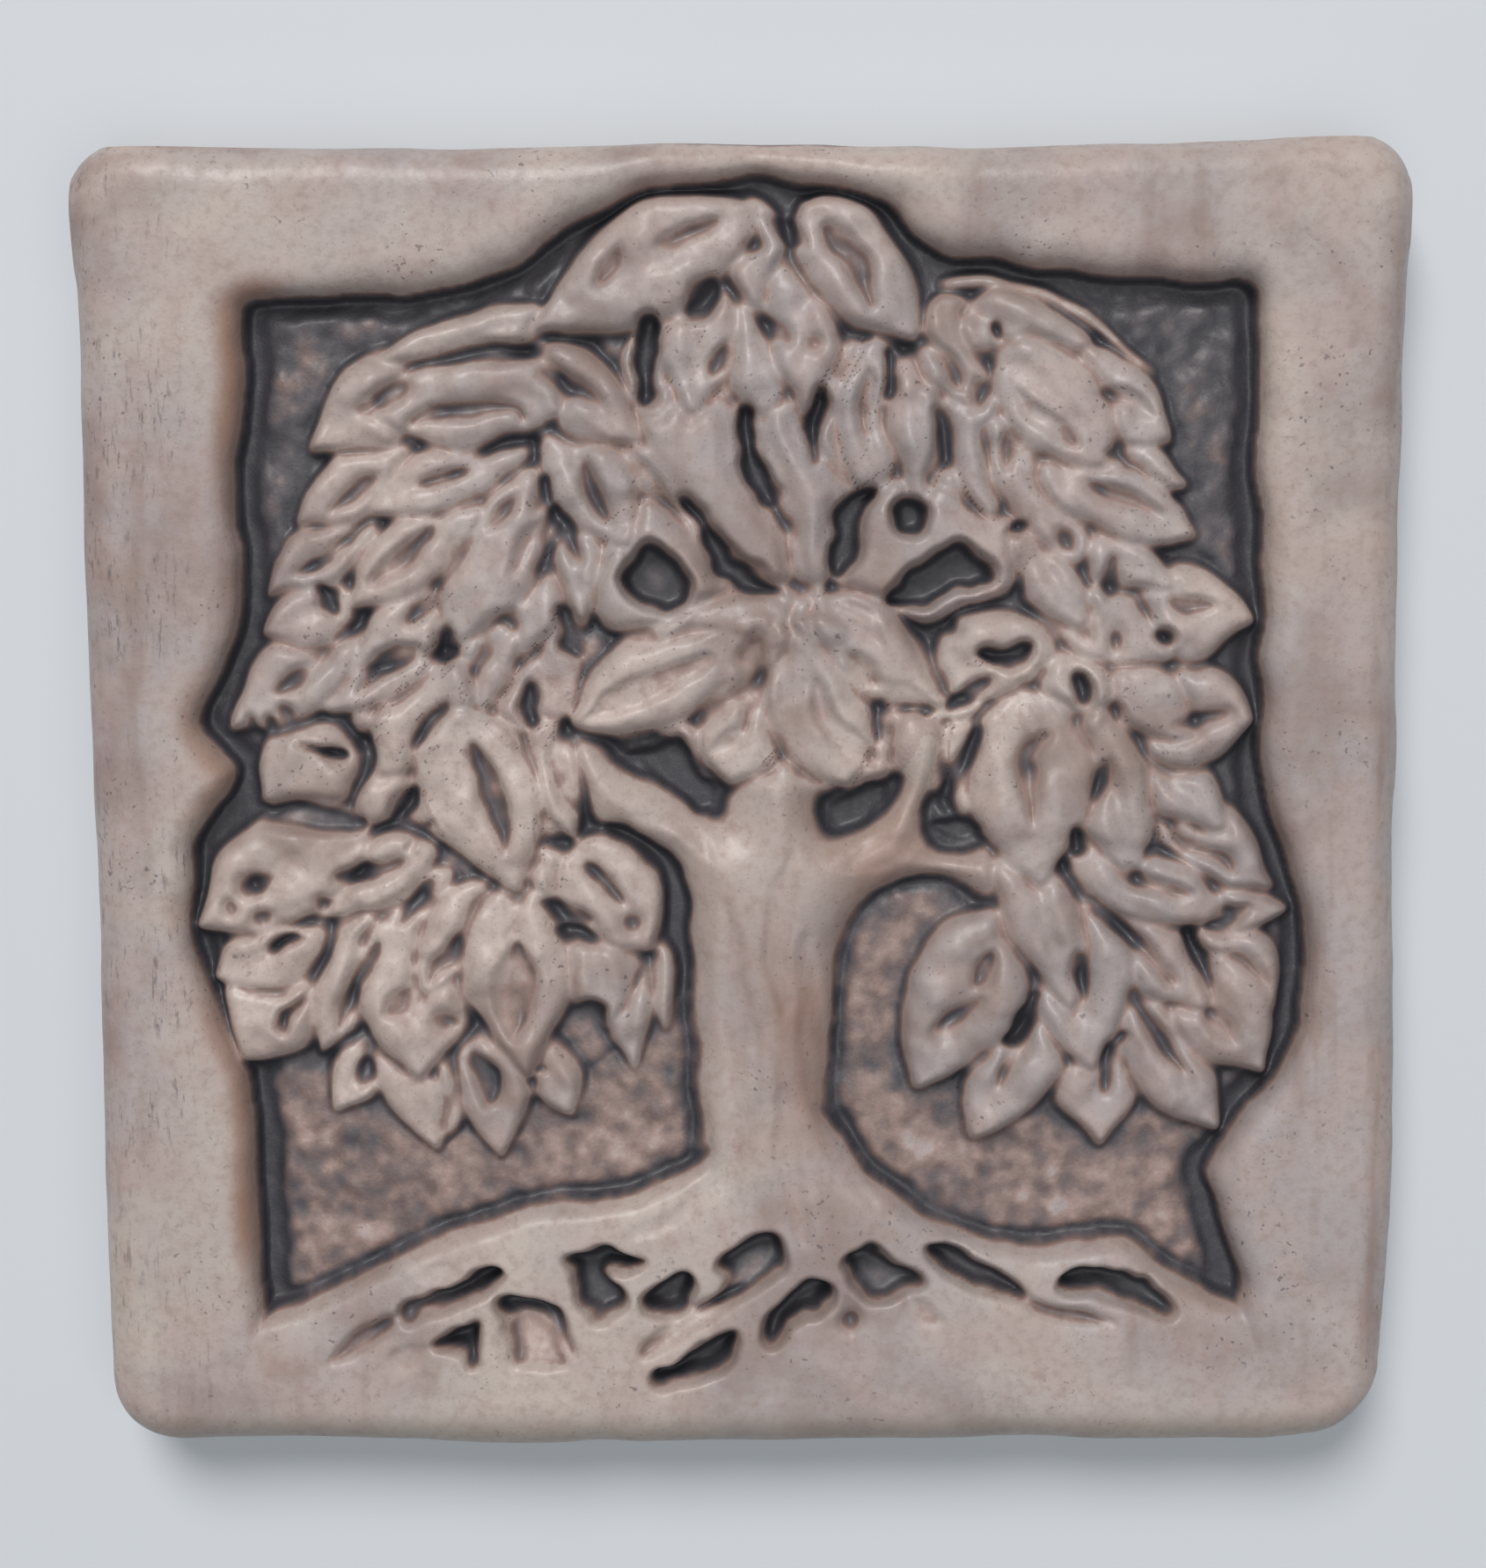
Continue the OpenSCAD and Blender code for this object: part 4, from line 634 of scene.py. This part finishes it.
hollow_fine = blur(height, 0.6) - height
hollow_wide = blur(height, 1.7) - height
low = SLAB_TOP + 2.2 - height
wash = np.minimum(0.7 * hollow_fine, 0.3) + 0.29 * hollow_wide + 0.38 * np.maximum(low, 0)
wash += np.minimum(np.maximum(blur(height, 0.3) - height, 0), 0.15)
wash += 0.05 * cloud(1.0, 31) + 0.07 * cloud(0.45, 36) * smooth(wash / 0.4)
is_ground = np.isin(owner, [names.index(name) for name in GROUND])
sunk = 0.3 + 0.55 * smooth((SLAB_TOP + 0.9 - height) / 0.8) + 0.4 * smooth((TRUE_Y + 12) / 10)
for size, share in ((0.8, 0.4), (2.4, 0.25)):
    sunk = sunk + share * np.maximum(blur(height, size) - height, 0)
sunk += 0.09 * cloud(0.4, 32) + 0.07 * cloud(2.0, 33)
wash = np.where(is_ground, sunk, np.where(on_heart, 0.75 * wash, wash))
on_lip = 0.85 * np.clip((SLAB_TOP + 3.0 - height) / 2.7, 0, 1) ** 1.2 + 0.08 * cloud(1.2, 37)
wash = np.where(owner == names.index("border"), np.minimum(wash, on_lip), wash)
wash = np.clip(blur(wash * smooth((hollow + 4.5) / 1.5), 0.12), 0, 1)
rim_of_lip = np.exp(-(((hollow + 0.9) / 0.9) ** 2)) * smooth((-34 - TRUE_X) / 3)
stain = 0.8 * rim_of_lip * smooth(0.7 + 0.4 * cloud(3, 34))
stain += 0.35 * smooth((hollow_wide - 0.15) / 0.6) * smooth(0.5 + 0.35 * cloud(4, 35))
# Painted shade: the trunk turns browner towards its right side, the side away from the window lamp,
# over a faint brown that lies on all of it.
on_trunk = blur(((owner == names.index("trunk")) & (TRUE_Y < 2)).astype(np.float32), 1.2)
stain += on_trunk * (0.1 + 0.45 * smooth((TRUE_X - 0.5) / 4)) * smooth(0.7 + 0.35 * cloud(3, 38))
stain = np.clip(blur(stain.astype(np.float32), 0.2), 0, 1)

# --- Pieces ----------------------------------------------------------------------------------
# The relief is cut apart along its seams into the pieces it was built from. Each is a closed body:
# its share of the worked face, the flat that it was pressed on to, and the walls between the two.
# Where a seam steps across the grid, a body can meet itself along a single upright edge.

slope_x, slope_y = np.gradient(height, STEP)
face = np.stack([-slope_x, -slope_y, np.ones_like(height)], -1)
outward = np.stack([np.sign(TRUE_X) * ax, np.sign(TRUE_Y) * ay, 0 * ax], -1)
on_side = (ax == 0) | (ay == 0)
across = np.abs(TRUE_X) - side > np.abs(TRUE_Y) - side
outward[on_side & across] = [1, 0, 0]
outward[on_side & ~across] = [0, 1, 0]
outward[..., 0] = np.abs(outward[..., 0]) * np.sign(TRUE_X)
outward[..., 1] = np.abs(outward[..., 1]) * np.sign(TRUE_Y)
outward /= np.linalg.norm(outward, axis=-1, keepdims=True) + 1e-9
face[bare] = outward[bare]
face /= np.linalg.norm(face, axis=-1, keepdims=True)

# The outermost points are drawn in on to the tile's outline.
at_corner = bare & (ax > 0) & (ay > 0)
reach = np.maximum(np.hypot(ax, ay), 1e-9)
px = np.where(at_corner, side - CORNER + ax * CORNER / reach, np.abs(TRUE_X))
py = np.where(at_corner, side - CORNER + ay * CORNER / reach, np.abs(TRUE_Y))
px = np.where(bare, np.minimum(px, side), px) * np.sign(TRUE_X)
py = np.where(bare, np.minimum(py, side), py) * np.sign(TRUE_Y)

leafy = np.array([name.startswith("lea") for name in names])
UNDER_LEAF = 7.2
sole = np.where(leafy[owner], np.clip(height - 0.4, SLAB_TOP, UNDER_LEAF), SLAB_TOP)


def corners(grid):
    """The four corner values of every square of the grid, anticlockwise."""
    return np.stack([grid[:-1, :-1], grid[1:, :-1], grid[1:, 1:], grid[:-1, 1:]], -1)


number = np.arange(COUNT * COUNT).reshape(COUNT, COUNT)
squares = corners(number)
worked = corners(~bare)
belongs = np.where(worked, corners(owner), -1).max(-1)


def body(name, cells, top, bottom, covered):
    """A closed mesh over squares of the grid, between two heights; covered marks hidden points."""
    quads = squares[cells].reshape(-1, 4)
    used, back = np.unique(quads, return_inverse=True)
    quads = back.reshape(-1, 4)
    n = len(used)
    ends = np.stack([quads, np.roll(quads, -1, 1)], -1).reshape(-1, 2)
    code = ends[:, 0].astype(np.int64) * n + ends[:, 1]
    rim = ends[~np.isin(code, ends[:, 1].astype(np.int64) * n + ends[:, 0])]
    walls = np.stack([rim[:, 1], rim[:, 0], rim[:, 0] + n, rim[:, 1] + n], -1)
    x, y = px.ravel()[used], py.ravel()[used]
    upper = np.stack([x, y, top.ravel()[used]], -1)
    lower = np.stack([x, y, bottom.ravel()[used]], -1)
    points = np.concatenate([upper, lower]) * MM
    faces = np.concatenate([quads, quads[:, ::-1] + n, walls])
    mesh = bpy.data.meshes.new(name)
    mesh.from_pydata(points, [], faces)
    piece = bpy.data.objects.new(name, mesh)
    bpy.context.scene.collection.objects.link(piece)
    inner = np.setdiff1d(np.arange(n), rim)
    unseen = np.concatenate([inner + n, inner[covered.ravel()[used[inner]]]])
    piece.vertex_groups.new(name="unseen").add(unseen.tolist(), 1.0, "REPLACE")
    return piece


def lookup(field, mesh):
    """The field's value at every point of a mesh."""
    place = np.zeros(3 * len(mesh.vertices), np.float32)
    mesh.vertices.foreach_get("co", place)
    nearest = np.rint(place.reshape(-1, 3)[:, :2] / (STEP * MM)).astype(int) + COUNT // 2
    nearest = np.clip(nearest, 0, COUNT - 1)
    return field[nearest[:, 0], nearest[:, 1]]


def surface(piece):
    """Gives a piece its wash, and its stain with painted shade, and shades its face as one with its
    neighbours'.
    """
    mesh = piece.data
    for key, field in (("wash", wash), ("stain", stain)):
        layer = mesh.attributes.new(key, "FLOAT", "POINT")
        layer.data.foreach_set("value", lookup(field, mesh).astype(np.float32))
    mesh.shade_smooth()
    turned = np.zeros(3 * len(mesh.polygons), np.float32)
    mesh.polygons.foreach_get("normal", turned)
    turned = turned.reshape(-1, 3)
    sizes = np.zeros(len(mesh.polygons), np.int32)
    mesh.polygons.foreach_get("loop_total", sizes)
    at = np.zeros(len(mesh.loops), np.int32)
    mesh.loops.foreach_get("vertex_index", at)
    own = np.repeat(turned, sizes, axis=0)
    soft = lookup(face, mesh)[at]
    mesh.normals_split_custom_set(np.where(own[:, 2:] > 0.03, soft, own))


PREFIX = "clay_"
made = {}
for k, name in enumerate(names):
    if name == "slab":
        continue
    covered = np.zeros_like(bare)
    if name == "bed":
        thick = corners(sole).mean(-1) > SLAB_TOP + 0.12
        cells = (belongs == k) | ((belongs >= 0) & leafy[np.maximum(belongs, 0)] & thick)
        shown = np.zeros_like(bare)
        shown.ravel()[squares[belongs == k]] = True
        top_face = np.where(shown, height, np.maximum(sole, SLAB_TOP + 0.02))
        floor_face = np.full_like(height, SLAB_TOP)
        covered = ~shown
    else:
        cells, top_face, floor_face = belongs == k, height, np.where(owner == k, sole, SLAB_TOP)
        floor_face = np.minimum(floor_face, height - 0.01)
    piece = body(PREFIX + name, cells, top_face, floor_face, covered)
    made[name] = piece
    if name in ("border", "bed"):
        bpy.ops.object.select_all(action="DESELECT")
        bpy.context.view_layer.objects.active = piece
        piece.select_set(True)
        thinner = piece.modifiers.new("thin what is unseen", "DECIMATE")
        thinner.vertex_group = "unseen"
        thinner.ratio = 0.4
        bpy.ops.object.modifier_apply(modifier=thinner.name)
    surface(piece)

# --- Slab ------------------------------------------------------------------------------------
# The slab under it all is a sheet of clay rolled on cloth, with its edges wiped round. A blind hole
# for a nail belongs in the back, above its middle, but the cut made for it here leaves none: the
# finished mesh is inside out and its back is flat.

LOWER_EDGE = 1.4
HOLE_WIDE, HOLE_DEEP, HOLE_Y = 7.0, 4.0, 30.0
RIM_POINTS = 640
bpy.ops.object.select_all(action="DESELECT")
bpy.ops.mesh.primitive_circle_add(vertices=RIM_POINTS, radius=HALF * MM, fill_type="NGON")
slab = bpy.context.object
slab.name = PREFIX + "slab"
plain = HALF - 0.25
straight = plain - CORNER
run_side, run_corner = 2 * straight, math.pi / 2 * CORNER
for v in slab.data.vertices:
    way = (v.index / RIM_POINTS * 4) % 4
    quarter, part = int(way), (way % 1) * (run_side + run_corner)
    if part < run_side:
        x, y = plain, part - straight
    else:
        turn = (part - run_side) / CORNER
        x, y = straight + CORNER * math.cos(turn), straight + CORNER * math.sin(turn)
    for _ in range(quarter):
        x, y = -y, x
    i, j = (int(round(w / STEP)) + COUNT // 2 for w in (x, y))
    w = float(wobble[i, j])
    x += w * max(-1, min(1, x / straight))
    y += w * max(-1, min(1, y / straight))
    v.co = (x * MM, y * MM, 0)
bpy.ops.object.mode_set(mode="EDIT")
bpy.ops.mesh.select_all(action="SELECT")
bpy.ops.mesh.normals_make_consistent(inside=False)
bpy.ops.mesh.extrude_region_move(TRANSFORM_OT_translate={"value": (0, 0, SLAB_TOP * MM)})
bpy.ops.mesh.select_all(action="SELECT")
bpy.ops.mesh.normals_make_consistent(inside=False)
bpy.ops.object.mode_set(mode="OBJECT")
mesh = slab.data
for e in mesh.edges:
    e.select = all(mesh.vertices[i].co.z < 1e-6 for i in e.vertices)
for f in mesh.polygons:
    f.select = f.normal.z < -0.5
bpy.ops.object.mode_set(mode="EDIT")
# This rounds the upper edge as well as the lower one.
bpy.ops.mesh.bevel(offset=LOWER_EDGE * MM, segments=6, affect="EDGES")
bpy.ops.object.mode_set(mode="OBJECT")
bpy.ops.object.select_all(action="DESELECT")
bpy.ops.mesh.primitive_cylinder_add(vertices=96, radius=HOLE_WIDE / 2 * MM, depth=2 * HOLE_DEEP * MM,
    location=(0, HOLE_Y * MM, 0))
punch = bpy.context.object
bpy.ops.object.mode_set(mode="EDIT")
bpy.ops.mesh.bevel(offset=0.5 * MM, segments=3, affect="EDGES")
bpy.ops.object.mode_set(mode="OBJECT")
cut = slab.modifiers.new("nail hole", "BOOLEAN")
cut.operation, cut.solver, cut.object = "DIFFERENCE", "EXACT", punch
bpy.ops.object.select_all(action="DESELECT")
bpy.context.view_layer.objects.active = slab
slab.select_set(True)
bpy.ops.object.modifier_apply(modifier=cut.name)
bpy.data.objects.remove(punch)
bpy.ops.object.shade_smooth_by_angle(angle=math.radians(40))
made["slab"] = slab

# --- Fired clay ------------------------------------------------------------------------------
# One buff clay, fired and washed. It is pinkish grey and mottled, with fine grain and dark specks,
# and goes brown and then slate as the wash lies deeper, where it also turns smoother and glossier.


class Shade:
    """A value in a material that adds and multiplies like a number."""

    def __init__(self, tree, socket=None):
        self.tree, self.socket = tree, socket

    def node(self, kind, settings=(), inputs=(), output=0):
        """Any node: its settings first, then the values or links of its sockets."""
        made = self.tree.nodes.new("ShaderNode" + kind)
        for key, value in dict(settings).items():
            if key == "stops":
                ramp = made.color_ramp
                while len(ramp.elements) < len(value):
                    ramp.elements.new(0.5)
                for stop, (at, colour) in zip(ramp.elements, value):
                    stop.position, stop.color = at, (*colour, 1)
            else:
                setattr(made, key, value)
        for key, value in dict(inputs).items():
            if isinstance(value, Shade):
                self.tree.links.new(value.socket, made.inputs[key])
            else:
                made.inputs[key].default_value = value
        return Shade(self.tree, made.outputs[output])

    def maths(self, operation, a, b):
        return self.node("Math", {"operation": operation}, {0: a, 1: b})

    def __add__(self, other):
        return self.maths("ADD", self, other)

    def __radd__(self, other):
        return self.maths("ADD", other, self)

    def __sub__(self, other):
        return self.maths("SUBTRACT", self, other)

    def __rsub__(self, other):
        return self.maths("SUBTRACT", other, self)

    def __mul__(self, other):
        return self.maths("MULTIPLY", self, other)

    def between(self, low, high):
        """0 below low, 1 above high."""
        return self.node("MapRange", {"interpolation_type": "SMOOTHSTEP"}, {0: self, 1: low, 2: high})


def colour(r, g, b):
    """A colour given as it is seen, 0 to 255, in the shader's own linear light."""
    return tuple(((c / 255 + 0.055) / 1.055) ** 2.4 for c in (r, g, b))


CLAY_LIGHT = colour(186, 172, 163)
CLAY_PINK = colour(175, 155, 148)
CLAY_GREY = colour(164, 154, 152)
CLAY_BROWN = colour(138, 116, 106)
WASH_STOPS = [(0.0, CLAY_PINK), (0.22, colour(155, 131, 122)), (0.45, colour(118, 100, 95)),
    (0.7, colour(84, 78, 81)), (1.0, colour(54, 53, 58))]


def fired_clay(name, light, streaks, grain, washed=True):
    """The clay: light is its palest tone, streaks how far brown runs down it, grain its roughness."""
    material = bpy.data.materials.new(name)
    material.use_nodes = True
    tree = material.node_tree
    tree.nodes.clear()
    start = Shade(tree)
    place = start.node("TexCoord", output="Object")

    def noise(size, detail=3.0, rough=0.55, stretch=(1, 1, 1)):
        where = start.node("Mapping", {}, {"Vector": place, "Scale": stretch})
        return start.node("TexNoise", {}, {"Vector": where, "Scale": 1 / (size * MM), "Detail": detail,
            "Roughness": rough})

    def mix(factor, a, b):
        return start.node("Mix", {"data_type": "RGBA"}, {0: factor, 6: a, 7: b}, output=2)

    broad, patchy = noise(26), noise(5.5, 4)
    fine, grit = noise(0.9, 5, 0.65), noise(0.28, 2, 0.6)
    base = mix(broad.between(0.38, 0.62), (*light, 1), (*CLAY_GREY, 1))
    base = mix(patchy.between(0.4, 0.66) * 0.7, base, (*CLAY_PINK, 1))
    base = mix(noise(13, 4, 0.6).between(0.5, 0.7) * 0.6, base, (*CLAY_BROWN, 1))
    run = noise(3.2, 3, 0.6, (1, 0.13, 1)).between(0.5, 0.72) * broad.between(0.42, 0.6) * streaks
    base = mix(run, base, (*CLAY_BROWN, 1))
    base = mix(fine.between(0.42, 0.75) * 0.4, base, (*CLAY_BROWN, 1))
    dirt = noise(9, 3).between(0.45, 0.62)
    specks = noise(0.5, 1).between(0.66, 0.74) * dirt + grit.between(0.62, 0.76) * 0.5
    base = mix(specks * 0.6, base, (*colour(78, 70, 72), 1))
    sides = start.node("SeparateXYZ", {}, {0: place})
    left = (0 - sides).between(41 * MM, 44 * MM)
    scratch = noise(0.45, 4, 0.7, (1, 0.2, 1)).between(0.54, 0.68) * noise(7, 3).between(0.42, 0.6)
    base = mix(scratch * left * 0.6, base, (*colour(84, 76, 78), 1))
    # Painted shade: a darker grey band along the tile's foot, where its rounded lower edge turns from
    # the light.
    foot = start.node("SeparateXYZ", {}, {0: place}, output=1)
    base = mix((0 - foot).between(46.5 * MM, 50 * MM) * 0.55, base, (*colour(138, 131, 120), 1))
    if washed:
        lies = start.node("Attribute", {"attribute_name": "wash"}, output="Fac")
        brown_and_shade = start.node("Attribute", {"attribute_name": "stain"}, output="Fac")
        lies = lies + (fine - 0.5) * 0.25 * (1 + grain)
        tone = start.node("ValToRGB", {"stops": WASH_STOPS}, {0: lies})
        # Brown where the stain lies: real stain by the lip and in the hollows, and painted shade down
        # the trunk's right side.
        base = mix(brown_and_shade, base, (*colour(146, 108, 88), 1))
        base = mix(lies.between(0.04, 0.24), base, tone)
        wet = lies.between(0.3, 0.85)
        roughness = 0.5 + (patchy - 0.5) * 0.2 + wet * 0.08 + (fine - 0.5) * 0.5
    else:
        roughness = 0.6 + (patchy - 0.5) * 0.2
    relief = fine * 0.6 + grit * 0.4
    bump = start.node("Bump", {}, {"Height": relief, "Strength": grain, "Distance": 0.12 * MM})
    skin = start.node("BsdfPrincipled", {}, {"Base Color": base, "Roughness": roughness, "Normal": bump,
        "Coat Weight": 0.15, "Coat Roughness": 0.28, "Specular IOR Level": 0.5})
    tree.links.new(skin.socket, tree.nodes.new("ShaderNodeOutputMaterial").inputs["Surface"])
    return material


FINISHES = {
    "clay_body": fired_clay("fired clay, border", CLAY_LIGHT, 0.6, 0.5),
    "clay_ground": fired_clay("fired clay, ground", CLAY_PINK, 0.3, 0.9),
    "clay_wood": fired_clay("fired clay, trunk", CLAY_LIGHT, 0.5, 0.5),
    "clay_leaf": fired_clay("fired clay, leaves", colour(192, 176, 167), 0.3, 0.4),
}
plain_back = fired_clay("fired clay, back", CLAY_LIGHT, 0.3, 0.7, washed=False)
SLOTS = {"slab": "clay_body", "border": "clay_body", "bed": "clay_ground", "ground": "clay_ground",
    "trunk": "clay_wood", "bough": "clay_wood", "root": "clay_wood", "leaf": "clay_leaf",
    "leaves": "clay_leaf"}
for name, piece in made.items():
    slot = SLOTS[name.split("_")[0]]
    piece.data.materials.append(plain_back if name == "slab" else FINISHES[slot])
    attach(piece, "root")
    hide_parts(name)

# --- Table and light -------------------------------------------------------------------------
# The tile lies on a plain pale table. A window beyond its upper edge lights the relief at a slant,
# and a wide soft sheet overhead fills the shadows.

bpy.ops.object.select_all(action="DESELECT")
bpy.ops.mesh.primitive_plane_add(size=2.4)
table = bpy.context.object
table.name = "table"
paint = bpy.data.materials.new("table paint")
paint.use_nodes = True
skin = paint.node_tree.nodes["Principled BSDF"]
skin.inputs["Base Color"].default_value = (0.64, 0.67, 0.695, 1)
skin.inputs["Roughness"].default_value = 0.7
table.data.materials.append(paint)


def lamp(name, place, size, power, tint):
    """A round soft light that faces the tile."""
    light = bpy.data.lights.new(name, "AREA")
    light.shape, light.size, light.energy, light.color = "DISK", size, power, tint
    shown = bpy.data.objects.new(name, light)
    shown.location = place
    away = mathutils.Vector(place)
    shown.rotation_euler = away.to_track_quat("Z", "Y").to_euler()
    bpy.context.scene.collection.objects.link(shown)


lamp("window", (-0.28, 1.1, 1.35), 0.8, 22.5, (1.0, 0.98, 0.97))
lamp("sheet", (0.1, -0.15, 0.8), 0.9, 2.5, (0.95, 0.97, 1.0))
world = bpy.data.worlds.new("room")
bpy.context.scene.world = world
world.use_nodes = True
world.node_tree.nodes["Background"].inputs["Color"].default_value = (0.86, 0.92, 1.0, 1)
world.node_tree.nodes["Background"].inputs["Strength"].default_value = 0.18
bpy.context.scene.view_settings.view_transform = "Standard"

# --- Camera ----------------------------------------------------------------------------------
# Held about 20 cm above the tile and tipped a few degrees towards its foot.

PITCH, YAW, ROLL = math.radians(5.65), math.radians(-0.57), math.radians(0.36)
AWAY = mathutils.Vector((0.1, -1.9, -206.3)) * MM
PLANE = 7.0
camera = bpy.data.cameras.new("camera")
camera.lens = 3000 / 1782 * 36
camera.sensor_width = 36
camera.sensor_fit = "AUTO"
turn = (mathutils.Matrix.Rotation(ROLL, 4, "Z") @ mathutils.Matrix.Rotation(YAW, 4, "Y")
    @ mathutils.Matrix.Rotation(PITCH, 4, "X"))
eye = bpy.data.objects.new("camera", camera)
eye.matrix_world = (mathutils.Matrix.Translation(AWAY) @ turn
    @ mathutils.Matrix.Translation((0, 0, -PLANE * MM))).inverted()
bpy.context.scene.collection.objects.link(eye)
bpy.context.scene.camera = eye
